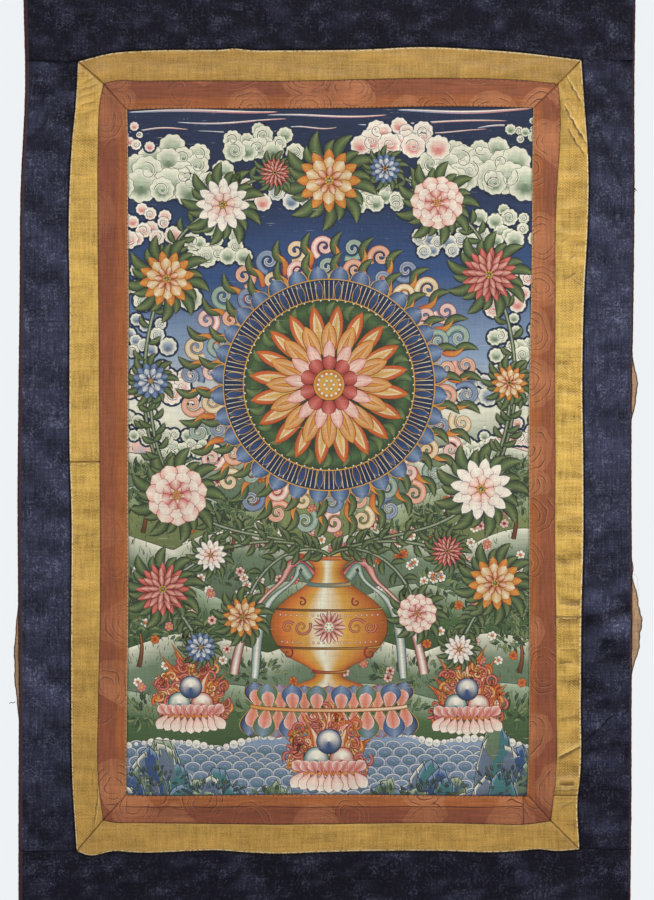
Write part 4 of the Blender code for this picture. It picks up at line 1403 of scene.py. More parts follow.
painted = paint_material()
x, z = np.moveaxis(picture_grid(3.0), -1, 0)
above = z - LOWER_EDGE + 6 * ripples(x, z, 77, 90.0)
heights, names = zip(*GROUND)
bands = np.array([tint(name) for name in names])
ground = np.stack([np.interp(above, heights, bands[:, i]) for i in range(4)], axis=-1)
flat = (405.6, 686.5)
canvas = cloth("picture_cloth", "canvas", hung(x, z), painted, flat)
fill_layer(canvas.data.attributes.new("paint", "FLOAT_COLOR", "POINT"), "color", ground)
from_edge = np.minimum.reduce([x - x[:, :1], x[:, -1:] - x, z[:1] - z, z - z[-1:]])
fill_layer(canvas.data.attributes.new("edge_mm", "FLOAT", "POINT"), "value", from_edge)
print("canvas with", x.size, "coloured points")

# %% [markdown]
# ## How the painting is laid on
#
# A painter lays flat shapes first, shades them, and draws fine outlines last. The same is done here
# with thin patches of paint, each a small grid of coloured points, a hundredth of a millimetre or so
# in front of the last. One function lays strokes: a middle line, a width that changes along it, and
# a row of colours across it. Petals, leaves, stems, curls and flames are all strokes. A second one
# lays discs, and a third fills under a line. The design is a made-up one of lotus, blossoms, clouds
# and hills, in the colours and at the scale of the old paintings.

# %% Patches of paint
FIRST_LAYER = 0.06  # millimetres in front of the canvas
LAYER_STEP = 0.016  # from one layer to the next
ROUND = 2 * math.pi
patches = {}


def lay(piece, level, x, h, colours):
    """Keeps m patches of rows x columns points. x and h are m x rows x columns, h is the height above
    the picture's lower edge, level is one number a patch, and colours fit m x rows x columns x 4."""
    shape = x.shape
    level = np.broadcast_to(np.reshape(level, (-1, 1, 1)), shape)
    colours = np.broadcast_to(colours, shape + (4,))
    patches.setdefault(piece, []).append((x, np.broadcast_to(h, shape), level, colours))


def columns_of(rows):
    """The columns of a table, each as an array."""
    return [np.array(column, float) for column in zip(*rows)]


def arrows(x, h):
    """Flat places or directions from two rows of numbers."""
    return np.stack([x, h], axis=1)


def striped(count, period, part):
    """Which of `count` neighbours belong to one part of a pattern that repeats every `period`."""
    return np.arange(count) % period == part


def flipping(count):
    """1 and -1 in turn."""
    return (-1.0) ** np.arange(count)


# %% Strokes
def strokes(piece, level, x, h, half, columns):
    """m strokes. x and h (m x n) are the middle lines and half (m x n) is half the width. Each column
    is (side from -1 to 1, inset in mm, colour at the start, colour at the end). Its distance from the
    middle line is the side times the half width, less the inset, and never less than nothing."""
    x, h, half = np.broadcast_arrays(np.atleast_2d(x), np.atleast_2d(h), np.atleast_2d(half))
    way = np.stack([np.gradient(x, axis=1), np.gradient(h, axis=1)], axis=-1)
    way = way / np.maximum(np.linalg.norm(way, axis=-1, keepdims=True), 1e-9)
    side, inset, start, end = columns_of(columns)
    out = np.sign(side) * np.maximum(np.abs(side) * half[..., None] - inset, 0)
    t = np.linspace(0, 1, x.shape[1])[:, None, None]
    x, h = x[..., None] - way[..., 1:] * out, h[..., None] + way[..., :1] * out
    lay(piece, level, x, h, start * (1 - t) + end * t)


def plain(paints):
    """Columns of a stroke in one paint, or in one that turns into a second one along it."""
    start, end = (tint(name) for name in (paints.split() * 2)[:2])
    return (-1, 0, start, end), (1, 0, start, end)


def edged(paints, wide=0.45):
    """Columns of an outlined stroke, from the names of five paints: a thin line at both edges, then
    a rim that shades to the heart, and the rim and the heart at the far end."""
    line, rim, heart, rim_end, heart_end = (tint(name) for name in paints.split())
    one_side = ((1, 0, line, line), (1, wide, line, line), (1, wide, rim, rim_end))
    other = tuple((-side, inset, a, b) for side, inset, a, b in one_side)
    return other + ((0, 0, heart, heart_end),) + one_side[::-1]


#   half width along a stroke, as a share of its greatest. leaf: half a sine wave. petal: the same,
#   but widest near its end. lotus: widest past the middle, and pointed. tail: from full to nothing.
#   flame: wide at the foot, with a long point.
TAPERS = {
    "leaf": lambda v: np.maximum(np.sin(math.pi * v), 0) ** 0.8,
    "petal": lambda v: np.maximum(np.sin(math.pi * (0.06 + 0.94 * v) ** 1.7), 0) ** 0.6,
    "lotus": lambda v: 1.9 * v**0.55 * (1 - v) ** 0.75 * (0.55 + 0.7 * v),
    "tail": lambda v: (1 - v) ** 0.6,
    "flame": lambda v: 1.65 * np.clip(v + 0.04, 0, 1) ** 0.4 * (1 - v) ** 1.1,
    "line": np.ones_like,
}


def blades(piece, level, base, tip, half, bow, kind, columns, steps=9):
    """m leaves or petals. The middle line goes straight from base to tip (m x 2) and bows aside by
    `bow` times its length, as half a sine wave."""
    v = np.linspace(0.0, 1.0, steps)
    run = tip - base
    aside = arrows(-run[:, 1], run[:, 0]) * np.reshape(bow, (-1, 1))
    line = base[:, None] + run[:, None] * v[:, None] + aside[:, None] * np.sin(math.pi * v)[:, None]
    half = np.reshape(half, (-1, 1)) * TAPERS[kind](v)
    strokes(piece, level, line[..., 0], line[..., 1], half, columns)


def ringed(piece, level, x, h, inner, outer, count, half, kind, columns, turn=0.0, bow=0.0, steps=9):
    """Petals round a middle, from one radius to another. Neighbours lie on different layers."""
    angle = turn + np.arange(count) * ROUND / count
    way = arrows(np.cos(angle), np.sin(angle))
    middle = np.array([x, h])
    over = level + 0.3 * (np.arange(count) % 2) + 0.15 * (np.arange(count) == count - 1)
    blades(piece, over, middle + way * inner, middle + way * outer, half, bow, kind, columns, steps)


def curls(piece, level, x, h, radius, start, hand, turns, half, columns, steps=22):
    """m spirals. A point's radius falls from full to a tenth while it goes round `turns` times."""
    s = np.linspace(0, 1, steps)
    spirals = np.broadcast_arrays(x, h, radius, start, hand)
    x, h, radius, start, hand = (np.reshape(value, (-1, 1)) for value in spirals)
    away = radius * (1 - 0.9 * s**0.8)
    angle = start + hand * ROUND * turns * s
    x, h = x + away * np.cos(angle), h + away * np.sin(angle)
    strokes(piece, level, x, h, half * (0.45 + 0.55 * (1 - s)), columns)


# %% Discs and fills
def blend(first, second, share):
    """A mixture of two paints."""
    return tint(first) * (1 - share) + tint(second) * share


def colour_of(paint):
    """A colour: a mixture as it is, or a paint by its name. "gold 0.5" is gold, half as bright."""
    if not isinstance(paint, str):
        return paint
    name, *light = paint.split()
    return tint(name, *map(float, light))


def stops(line, wide, *inner):
    """Rings of a disc, or bands of a fill: an outline `wide` mm thick, then rows of (share of the way
    in, inset in mm, colour above, colour below). Where the two are the same, one is given."""
    line = line if isinstance(line, tuple) else (line,)
    rows = ((0, 0, *line), (0, wide, *line), *inner)
    return [(row[0], row[1], colour_of(row[2]), colour_of(row[-1])) for row in rows]


def discs(piece, level, x, h, radius, rings, sides=24, squash=1.0, lobes=0, depth=0.0, turn=0.0):
    """m round patches, whose rings turn from the colour above to the one below. The rim has `lobes`
    scallops, and between them it dips by `depth` times the radius: 1 - depth (1 - |sin(lobes
    angle / 2)|)."""
    round_ones = np.broadcast_arrays(x, h, radius, turn)
    x, h, radius, turn = (np.reshape(value, (-1, 1, 1)) for value in round_ones)
    angle = np.linspace(0, ROUND, sides + 1)
    out = radius * (1 - depth * (1 - np.abs(np.sin(lobes * (angle + turn) / 2))))
    share, inset, above, below = (column[:, None] for column in columns_of(rings))
    ring = np.maximum(out * (1 - share) - inset, 0)
    up = (0.5 + 0.5 * np.sin(angle))[:, None]
    x, h = x + ring * np.cos(angle), h + ring * np.sin(angle) * squash
    lay(piece, level, x, h, above * up + below * (1 - up))


def fill(piece, level, x, top, bottom, bands):
    """Paint under a line, in bands that lie below one another. x and top are arrays of n, and bottom
    is an array or one number."""
    share, down, colour, _ = (column[:, None] for column in columns_of(bands))
    h = np.maximum(top - down - (top - bottom) * share, bottom)
    lay(piece, level, np.broadcast_to(x, h.shape)[None], h[None], colour)


print("brushes ready")

# %% [markdown]
# ## Sky and clouds
#
# Clouds in this kind of painting are heaps of round puffs. Each one is pale at its rim and shaded
# towards its heart, in green, pink or grey blue, and every second one carries a curl. Behind a heap
# a dark blue edge lifts it off the sky. The places and sizes of the puffs come from a seeded draw.

# %% Clouds
#   middle x and foot h, width, height, how many puffs, tone
CLOUDS = (
    (-150, 600, 112, 50, 19, 0), (148, 606, 116, 46, 19, 0), (-66, 640, 76, 28, 12, 0),
    (72, 646, 84, 26, 13, 1), (-180, 552, 60, 40, 12, 1), (176, 548, 66, 44, 13, 0),
    (-112, 534, 70, 34, 12, 0), (116, 540, 66, 34, 12, 2), (-172, 492, 74, 44, 14, 0),
    (178, 486, 70, 44, 14, 1), (-186, 440, 60, 42, 12, 2), (188, 436, 58, 42, 12, 0),
    (-164, 396, 68, 36, 13, 1), (170, 392, 70, 36, 13, 2), (-186, 352, 54, 34, 10, 0),
    (192, 350, 54, 30, 10, 1), (-138, 340, 58, 26, 10, 0), (142, 336, 62, 26, 10, 0),
    (-24, 592, 70, 26, 11, 2), (40, 588, 66, 24, 11, 0), (-196, 646, 40, 26, 8, 1),
    (200, 654, 40, 22, 8, 0), (-92, 590, 60, 26, 10, 1), (96, 592, 56, 26, 10, 0),
)
#   outline, rim, shade, heart
CLOUD_TONES = ("sage cream mint sage", "slate white blush rose", "slate cream haze slate")
PUFF_STEP = 0.17  # layers from one puff to the next


def cloud(level, seed, x, h, wide, high, count, tone):
    """A heap of scalloped puffs under an arch. Their middles lie at random shares of the half
    ellipse, and lower ones come in front. Every second one carries a curl."""
    chance = np.random.default_rng(seed)
    line, rim, shade, heart = CLOUD_TONES[tone].split()
    angle = np.linspace(0.04, 0.96, count) * math.pi + chance.uniform(-0.1, 0.1, count)
    share = np.array((0.95, 0.35, 0.7))[np.arange(count) % 3] + chance.uniform(-0.12, 0.05, count)
    px, ph = x + 0.5 * wide * np.cos(angle) * share, h + high * np.sin(angle) * share
    order = np.argsort(-ph)
    px, ph = px[order], ph[order]
    radius = wide * chance.uniform(0.1, 0.16, count) * (1.1 - 0.3 * (ph - h) / high)
    turn = chance.uniform(0, 6, count)
    discs("painted_clouds", level, px, ph, radius + 1.5, stops("night", 0, (1, 0, "night"))[1:], 18)
    outline = (tint(line) * 0.5, tint(line) * 0.4)
    puff = stops(
        outline, 0.45, (0, 0.45, rim), (0.2, 0.45, rim, blend(rim, shade, 0.4)),
        (0.55, 0, blend(rim, shade, 0.7), heart), (1, 0, shade, heart),
    )
    over = level + 0.4 + PUFF_STEP * np.arange(count)
    discs("painted_clouds", over, px, ph, radius, puff, 36, lobes=9, depth=0.13, turn=turn)
    front = np.arange(count)[1::2]
    top = level + 0.6 + PUFF_STEP * count
    px, ph, size, start, hand = px[front], ph[front], radius[front] * 0.6, turn[front], (-1.0) ** front
    for half, paints, lift in ((1.4, rim, 0.0), (0.38, "ink slate", 0.2)):
        curls("painted_clouds", top + lift, px, ph, size, start, hand, 1.4, half, plain(paints))


#   x and h of the start, length, half width
CIRRUS = (
    (-199, 682, 150, 1.5), (-60, 678, 120, 1.1), (70, 683, 135, 1.6), (-150, 672, 110, 0.9),
    (30, 671, 150, 1.0), (-199, 664, 60, 0.8), (150, 667, 55, 0.9), (-40, 666, 50, 0.7),
    (-130, 662, 90, 0.6), (60, 662, 100, 0.7),
)
for row, (x, h, long, half) in enumerate(CIRRUS):
    s = np.linspace(0, 1, 30)
    x, h = x + long * s, h + 1.6 * np.sin(s * 5 + row) + 2.0 * s
    thin = half * np.sin(math.pi * s) ** 0.5
    strokes("painted_sky", 1 + 0.2 * row, x, h, thin, plain("haze rose"))
    strokes("painted_sky", 1.1 + 0.2 * row, x, h + half * 0.4, 0.4 * thin, plain("white"))
for row, heap in enumerate(CLOUDS):
    cloud(3 + 0.09 * row, row, *heap)
print(len(CLOUDS), "clouds and", len(CIRRUS), "streaks")

# %% [markdown]
# ## Hills, trees and water
#
# Rolling hills lie one behind another, each with a pale rim and a darker foot, and snow peaks rise
# over the last of them. Their lines are sums of a few arches. Leaves by the hundred make the shrubs
# and trees, short blades make the grass, and small daisies stand in it. The water has an edge of foam
# and rows of small waves. Heaps of crags stand in it, each crag a hump with creases in its face, and
# the lower ones come in front.

# %% Hills
#   height of the line, height of its arches, how many, phase, paint of the rim and of the foot
HILLS = (
    (330, 16, 3.2, 0.4, "cream", "sage"), (292, 18, 2.4, 1.9, "mint", "grass"),
    (246, 20, 2.8, 0.2, "cream", "sage"), (196, 16, 3.4, 2.6, "mint", "leaf"),
    (146, 14, 2.6, 1.2, "cream", "sage"), (98, 12, 3.0, 0.5, "mint", "leaf"),
)
for row, (foot, high, arches, phase, rim, heart) in enumerate(HILLS):
    x = np.linspace(-205, 211, 160)
    top = foot + high * np.abs(np.sin(x / 404 * math.pi * arches + phase)) + 3 * np.sin(x / 23 + phase)
    shades = ((0, 7, blend(rim, heart, 0.4)), (0, 26, heart), (1, 0, tint(heart) * 0.6))
    fill("painted_land", 2 + 1.3 * row, x, top, top - 70, stops("forest", 0.7, (0, 0.7, rim), *shades))

#   x of the peak, foot, height, half width
PEAKS = ((-186, 330, 58, 24), (-160, 328, 42, 20), (186, 328, 60, 24), (158, 326, 44, 18))
SNOW = stops("slate", 0.6, (0, 0.6, "white"), (0.5, 0, "blush"), (0.8, 0, "haze"), (1, 0, "slate"))
for row, (x, foot, high, half) in enumerate(PEAKS):
    ridge = np.linspace(-1, 1, 25)
    top = foot + high * (1 - np.abs(ridge)) ** 0.85 + 2.4 * np.sin(ridge * 17 + row)
    fill("painted_land", 0.5 + 0.2 * row, x + half * ridge, top, foot - 8.0, SNOW)

GRASS = 1500
chance = np.random.default_rng(5)
base = arrows(chance.uniform(-200, 206, GRASS), chance.uniform(66, 345, GRASS))
tip = base + arrows(chance.normal(0, 2.2, GRASS), chance.uniform(4, 8, GRASS))
for part, paints in enumerate(("forest leaf", "leaf grass", "forest sage")):
    mine = striped(GRASS, 3, part)
    level = 9.3 + 0.1 * part
    blades("painted_land", level, base[mine], tip[mine], 0.55, 0.1, "flame", plain(paints), 4)
print(len(HILLS), "hills and", GRASS, "blades of grass")


# %% Shrubs and trees
def leafage(piece, level, x, h, wide, high, count, size, seed, tones=("forest", "leaf", "grass")):
    """A shrub: leaves whose feet are scattered over an ellipse, and which point outwards and up."""
    chance = np.random.default_rng(seed)
    angle, share = chance.uniform(0, ROUND, count), chance.uniform(0, 1, count) ** 0.5
    base = arrows(x + wide * share * np.cos(angle), h + high * share * np.sin(angle))
    way = arrows(np.cos(angle) * share, np.sin(angle) * share + 0.45)
    way += chance.normal(0, 0.3, (count, 2))
    way /= np.linalg.norm(way, axis=1, keepdims=True)
    order = np.argsort(-base[:, 1])
    base, way = base[order], way[order]
    tip = base + way * (size * chance.uniform(0.7, 1.3, (count, 1)))
    over = level + 1.6 * np.arange(count) / count
    for part, tone in enumerate(tones):
        mine = striped(count, len(tones), part)
        heart = "sage" if part else "leaf"
        columns = edged(f"ink {tone} {tone} {tone} {heart}", 0.28)
        blades(piece, over[mine], base[mine], tip[mine], size * 0.2, 0.12, "leaf", columns, 5)


#   x, foot, height, spread, seed of the leaves
TREES = (
    (-184, 262, 58, 26, 21), (186, 256, 62, 26, 22), (-188, 128, 64, 24, 23),
    (192, 122, 60, 22, 24), (-96, 244, 40, 20, 25), (104, 240, 38, 20, 26),
)
#   where a tree's bunches of leaves are, as shares of its spread and height, and how wide they are
BUNCHES = ((-0.5, 0.55, 0.55), (0.5, 0.6, 0.55), (0, 0.85, 0.65), (-0.25, 1.05, 0.4), (0.3, 1.1, 0.4))
TRUNK = edged("ink umber umber umber amber", 0.4)
for x, foot, high, spread, seed in TREES:
    s = np.linspace(0, 1, 12)
    trunk_x, trunk_h, half = x + 3 * np.sin(s * 4), foot + high * 0.8 * s, 2.4 * (1.1 - 0.8 * s)
    strokes("painted_trees", 11.0, trunk_x, trunk_h, half, TRUNK)
    for row, (dx, dh, part) in enumerate(BUNCHES):
        place, wide = (x + spread * dx, foot + high * dh), spread * part
        leafage("painted_trees", 11.6 + 1.7 * row, *place, wide, wide * 0.62, 42, 7.5, seed + 10 * row)

#   x, height, half width, half height, leaves
SHRUBS = (
    (-150, 296, 36, 10, 60), (150, 292, 36, 10, 60), (-70, 262, 40, 12, 90), (76, 258, 40, 12, 90),
    (-136, 170, 40, 12, 90), (138, 176, 40, 12, 90), (-84, 124, 40, 10, 80), (88, 122, 40, 10, 80),
    (-180, 84, 24, 12, 60), (184, 86, 22, 12, 60), (-186, 214, 18, 14, 50), (192, 210, 16, 14, 50),
    (-104, 216, 28, 10, 50), (108, 212, 28, 10, 50), (-40, 86, 50, 6, 70), (48, 86, 50, 6, 70),
)
for row, shrub in enumerate(SHRUBS):
    leafage("painted_shrubs", 10.0 + 0.1 * row, *shrub, 8.5, 40 + row)
print(len(TREES), "trees,", len(SHRUBS), "shrubs")

# %% Daisies
#   paint of the petals and of the heart, how many
DAISIES = (("white", "amber", 60), ("blush", "crimson", 44), ("amber", "brick", 30), ("rose", "gold", 36))
DAISY_RADIUS = 2.9  # from a daisy's middle to the middle of a petal
chance = np.random.default_rng(9)
for row, (petal, heart, count) in enumerate(DAISIES):
    x, h = chance.uniform(-192, 198, count), chance.uniform(84, 318, count)
    angle = np.arange(6) * math.pi / 3 + 0.3
    px, ph = x[:, None] + DAISY_RADIUS * np.cos(angle), h[:, None] + DAISY_RADIUS * np.sin(angle)
    level = 13.6 + 0.8 * row
    rings = stops("ink", 0.3, (0, 0.3, petal), (1, 0, petal))
    discs("painted_shrubs", level, px.ravel(), ph.ravel(), DAISY_RADIUS * 0.72, rings, 8)
    rings = stops("umber", 0.3, (0, 0.3, heart), (1, 0, heart))
    discs("painted_shrubs", level + 0.3, x, h, DAISY_RADIUS * 0.6, rings[:1] + rings[2:], 8)
print(sum(row[2] for row in DAISIES), "daisies")


# %% Water
def shore(x, height):
    """The wavy line where the water ends."""
    return height + 9 * np.abs(np.sin(x / 34)) + 5 * np.sin(x / 61 + 1)


WATER = stops("ink", 0.6, (0, 0.6, "white"), (0, 4.5, "haze"), (0, 10, "haze"), (1, 0, "slate"))
WAVE = stops(
    ("ink", "slate"), 0.5, (0, 0.5, "white", "haze"), (0.2, 0.5, "haze", "slate"),
    (0.2, 0.9, "slate", "blue"), (0.5, 0, "haze", "slate"), (0.5, 0.5, "slate", "teal"),
    (1, 0, "haze", "slate"),
)
FOAM = stops(("ink", "slate"), 0.45, (0, 0.45, "white"), (1, 0, "white", "haze"))
WAVE_ROWS = 8
WATER_FOOT = -3.0
x = np.linspace(-205, 211, 200)
fill("painted_water", 13, x, shore(x, 52), WATER_FOOT, WATER)
for row in range(WAVE_ROWS):
    x = np.arange(-198 + 8 * (row % 2), 212, 16.0)
    over = 14.5 + 0.5 * (WAVE_ROWS - 1 - row) + 0.15 * (np.arange(len(x)) % 2)
    h = 7.0 * row - 2 + 3 * np.sin(x / 40 + row)
    discs("painted_water", over, x, h, 8.8, WAVE, 22, squash=0.7)
x = np.arange(-198, 208, 7.5)
over = 18.8 + 0.2 * (np.arange(len(x)) % 3)
discs("painted_water", over, x, shore(x, 50), 3.6 + 1.2 * np.sin(x), FOAM, 14)


# %% Rocks
def crag(level, chance, x, foot, high, half, rim, heart):
    """One crag: a hump under an angular line. Its face is creased down from each of the corners."""
    side = np.array((-1.0, -0.82, -0.42, 0.04, 0.44, 0.8, 1.0))
    rise = np.array((0.1, 0.6, 0.86, 1.0, 0.84, 0.52, 0.1)) * chance.uniform(0.8, 1.12, 7)
    s = np.linspace(-1, 1, 41)
    top = foot + high * np.interp(s, side, rise)
    bands = stops(rim, 1.2, (0, 5.5, heart), (0.75, 0, heart + " 0.7"), (1, 0, "night"))
    fill("painted_water", level, x + half * s, top, foot, bands)
    strokes("painted_water", level + 0.1, x + half * s, top, 0.34, plain("ink"))
    corner = arrows(x + half * side[1:-1], foot + high * rise[1:-1])
    down = arrows(half * chance.uniform(-0.3, 0.3, 5), -high * chance.uniform(0.25, 0.75, 5))
    for lift, aside, wide, paints in ((0.08, 0.9, 0.8, f"{rim} {heart}"), (0.1, 0, 0.42, "ink")):
        base = corner + (aside, 0)
        blades("painted_water", level + lift, base, base + down, wide, 0.08, "tail", plain(paints), 7)


#   x, height, width, how many crags, paints of the leaves at the foot
ROCKS = (
    (-176, 84, 62, 12, "night forest blue"), (180, 88, 58, 12, "night forest blue"),
    (-112, 42, 50, 8, "night forest blue"), (108, 46, 52, 8, "night forest blue"),
    (-52, 22, 34, 5, "forest leaf sage"), (60, 24, 34, 5, "forest leaf sage"),
)
ROCKS_FOOT = -4
#   paints of a crag: its rim and its face
STONE = (("haze", "teal"), ("mint", "sage"), ("haze", "blue"), ("cream", "slate"))
for row, (x, high, wide, count, tones) in enumerate(ROCKS):
    chance = np.random.default_rng(60 + row)
    at = chance.permutation(np.linspace(-0.5, 0.5, count)) + chance.uniform(-0.04, 0.04, count)
    tall = high * (1 - 2.6 * at**2) * np.linspace(1.0, 0.36, count)
    for place in range(count):
        half = wide * (0.2 + 0.12 * tall[place] / high)
        stone = STONE[(place + row) % len(STONE)]
        crag(19.7 + 0.25 * place, chance, x + wide * at[place], ROCKS_FOOT, tall[place], half, *stone)
    foot, low, leaves = ROCKS_FOOT + high * 0.2, high * 0.16, int(1.1 * wide)
    leafage("painted_water", 23.3, x, foot, wide * 0.55, low, leaves, 7.0, 80 + row, tones.split())
print(len(ROCKS), "heaps of rock")

# %% [markdown]
# ## The lotus medallion
#
# The middle of the picture is one large lotus seen from above, ring inside ring: dark blue with gold
# rays, green, orange and gold petals, pale pink ones, and a gold heart. Each ring is one call, with
# its layer, its inner and outer radius and the number of its petals. Curling tendrils in several
# colours fill the space round it, as scrollwork does in silver and wood.

# %% Medallion
MIDDLE = (2.0, 410.0)
MEDALLION = "painted_medallion"
LEAFY = "ink forest leaf forest grass"
#   distance from the middle, size and number of the tendrils in a row
TENDRIL_ROWS = ((138, 12, 30), (118, 11, 26))
TENDRIL_PAINTS = (
    "umber amber blush white amber", "forest teal mint white teal", "crimson rose white white rose",
    "umber gold cream white gold", "night blue haze white blue",
)
BLUE_RADIUS = 106


def ring(level, inner, outer, count, half, kind, paints, line=0.45, turn=0.0, bow=0.0):
    """Outlined petals round the middle of the picture, from one radius to another."""
    ringed(MEDALLION, level, *MIDDLE, inner, outer, count, half, kind, edged(paints, line), turn, bow)


def band(level, outer, inner, line, rim, heart, wide=0.7, sides=96):
    """A flat ring, with a thin line at its rim."""
    share = 1 - inner / outer
    rings = stops(line, wide, (0, wide, rim), (share * 0.5, 0, heart), (share, 0, rim), (1, 0, rim))
    discs(MEDALLION, level, *MIDDLE, outer, rings, sides)


def beads(piece, level, x, h, away, count, radius, colour, sides=8):
    """Small outlined dots on a circle."""
    angle = np.arange(count) * ROUND / count
    rings = stops("umber", 0.3, (0, 0.3, colour, tint(colour) * 0.7), (1, 0, colour))
    discs(piece, level, x + away * np.cos(angle), h + away * np.sin(angle), radius, rings, sides)


for row, (away, size, count) in enumerate(TENDRIL_ROWS):
    level = 25 + 1.6 * row
    angle = np.arange(count) * ROUND / count + 0.14
    x, h = MIDDLE[0] + away * np.cos(angle), MIDDLE[1] + away * np.sin(angle)
    for part, paints in enumerate(TENDRIL_PAINTS):
        mine = striped(count, len(TENDRIL_PAINTS), part)
        place, start, hand = (x[mine], h[mine]), angle[mine] + 2.6, flipping(count)[mine]
        columns = edged(paints, 0.5)
        curls(MEDALLION, level + 0.12 * part, *place, size, start, hand, 1.5, 3.6, columns, 28)
    ring(level + 0.8, away - 12, away + 16, count, 4.6, "leaf", LEAFY, turn=0.02, bow=0.25)
    flames = "crimson brick amber gold gold"
    ring(level + 1.2, away - 20, away + 4, count, 4.4, "flame", flames, turn=0.07, bow=-0.2)

#   layer, inner and outer radius, petals, half width, shape, paints, width of the line, turn, bow
ring(28.8, 84, 119, 32, 10.4, "petal", "gold night blue blue haze", 0.8, 0.1)
band(29.4, BLUE_RADIUS, 82, "gold", "night", "night", 1.0)
ringed(MEDALLION, 29.8, *MIDDLE, 83, 104, 136, 0.32, "line", plain("gold cream"), steps=2)
ring(30.2, 83, 104, 32, 5.4, "lotus", "gold night night blue blue", 0.55, 0.1)
band(31.0, 86, 66, "gold", "forest", "leaf", 1.1)
beads(MEDALLION, 31.3, *MIDDLE, 84.4, 64, 1.2, "cream")
ring(31.6, 66, 83, 26, 4.8, "leaf", "ink forest leaf leaf grass", 0.4, 0.05, 0.3)
ring(32.3, 30, 80, 20, 11.0, "lotus", "umber amber gold brick amber", 0.6, 0.2)
ring(32.8, 34, 74, 20, 4.6, "leaf", "amber gold gold cream gold", 0.35, 0.2)
ring(33.4, 24, 63, 16, 11.2, "lotus", "umber gold cream amber gold", 0.6)
ring(33.9, 30, 58, 16, 3.4, "flame", "brick amber gold amber gold", 0.3)
ring(34.5, 16, 45, 13, 9.0, "lotus", "crimson blush white rose blush", 0.55, 0.12)
ringed(MEDALLION, 35.1, *MIDDLE, 16, 40, 13, 1.1, "flame", plain("rose blush"), turn=0.12)
ring(35.7, 10, 30, 10, 7.6, "petal", "ink crimson brick brick rose", 0.5, 0.3)
band(36.6, 16, 9, "umber", "gold", "amber", 0.7, 40)
beads(MEDALLION, 37.0, *MIDDLE, 11, 14, 1.8, "cream")
beads(MEDALLION, 37.1, *MIDDLE, 4.6, 6, 1.8, "cream")
print("medallion", 2 * BLUE_RADIUS, "mm across its blue ring")

# %% [markdown]
# ## The vase
#
# A footed vase stands on a lotus base before the hills. It is a turned shape: a radius for each
# height, and colours across it from dark at the sides to pale left of the middle, as if lit from
# there.

# %% Vase
VASE = "painted_vase"
VASE_X = 2.0
VASE_MIDDLE = 168
#   height, radius
VASE_PROFILE = (
    (104, 36), (108, 38), (112, 30), (116, 18), (121, 14), (128, 21), (138, 40), (153, 54),
    (168, 59), (184, 55), (198, 41), (209, 25), (217, 17), (227, 15), (233, 20), (239, 29), (242, 30),
)
#   side from -1 to 1, paint, how bright
VASE_SHADES = (
    (-1, "umber", 1), (-0.985, "umber", 1), (-0.985, "amber", 0.55), (-0.8, "amber", 1),
    (-0.4, "gold", 1), (-0.15, "cream", 1), (0.3, "gold", 1), (0.8, "amber", 0.75),
    (0.985, "amber", 0.45), (0.985, "umber", 1), (1, "umber", 1),
)
#   height, half thickness, paint
HOOPS = (
    (108, 2.0, "brick"), (125, 1.6, "crimson"), (149, 1.3, "umber"), (187, 1.3, "umber"),
    (212, 2.2, "teal"), (239, 2.2, "brick"),
)
h = np.linspace(104, 242, 80)
radius = smooth_through(VASE_PROFILE, h)
x = VASE_X + radius[:, None] * np.array([row[0] for row in VASE_SHADES])
colours = np.array([tint(*row[1:]) for row in VASE_SHADES])
lay(VASE, 24.0, x[None], h[:, None], colours)
s = np.linspace(-1, 1, 21)
for h, half, name in HOOPS:
    reach = float(smooth_through(VASE_PROFILE, np.array([float(h)]))[0])
    columns = edged(f"umber {name} {name} {name} gold", 0.4)
    strokes(VASE, 24.6, VASE_X + reach * s, h - 2.2 * np.sqrt(1 - s**2 * 0.98), half, columns)
columns = edged("umber crimson rose brick white", 0.4)
ringed(VASE, 25.2, VASE_X, VASE_MIDDLE, 4, 17, 12, 3.8, "lotus", columns)
beads(VASE, 25.8, VASE_X, VASE_MIDDLE, 0, 1, 5.0, "cream", 20)
beads(VASE, 26.0, VASE_X, VASE_MIDDLE, 3.0, 6, 0.9, "amber")

# %% [markdown]
# ## Ornament of the vase
#
# The vase's ornament is the same on both sides, so each curl and each silk sash is drawn twice, with
# the sign of x turned. A sash hangs in waves from the neck.

# %% Curls, sashes and dots
#   paints of a sash's rim and heart, and how far out it reaches
SASHES = (("crimson", "rose", 78), ("teal", "mint", 62))
t = np.linspace(0, 1, 40)
for sign in (-1, 1):
    x = VASE_X + sign * np.array([27.0, 41.0])
    size, hand = np.array([9.5, 6.5]), sign * np.array([1.0, -1.0])
    columns = edged("umber crimson rose crimson gold", 0.35)
    curls(VASE, 25.2, x, VASE_MIDDLE, size, 0.5, hand, 1.4, 1.5, columns, 24)
    h, size = np.array([193.0, 142.0]), np.array([5, 7])
    curls(VASE, 25.5, x, h, size, 2.0, sign, 1.2, 1.0, plain("crimson umber"), 18)
    for row, (rim, heart, far) in enumerate(SASHES):
        x = VASE_X + sign * (15 + far * t + 5 * np.sin(t * 9 + row))
        h = 221 - 96 * t**1.6 + 26 * np.sin(t * math.pi) - 4 * row + 4 * np.sin(t * 11)
        columns = edged(f"umber {rim} {heart} {rim} white", 0.5)
        strokes(VASE, 23.0 + 0.3 * row, x, h, 3.4 + 1.4 * np.sin(t * 8 + row), columns)

# a row of dots beside each of the two thin hoops at its belly
dots = np.linspace(-0.9, 0.9, 19)
rings = stops("crimson", 0, (1, 0, "cream"))[1:]
for h, wide in ((154.5, 52), (181.5, 54)):
    discs(VASE, 25.3, VASE_X + wide * dots, h - 2 * np.sqrt(1 - dots**2), 1.3, rings, 8)

# %% Lotus base
PETAL_COUNT = 13
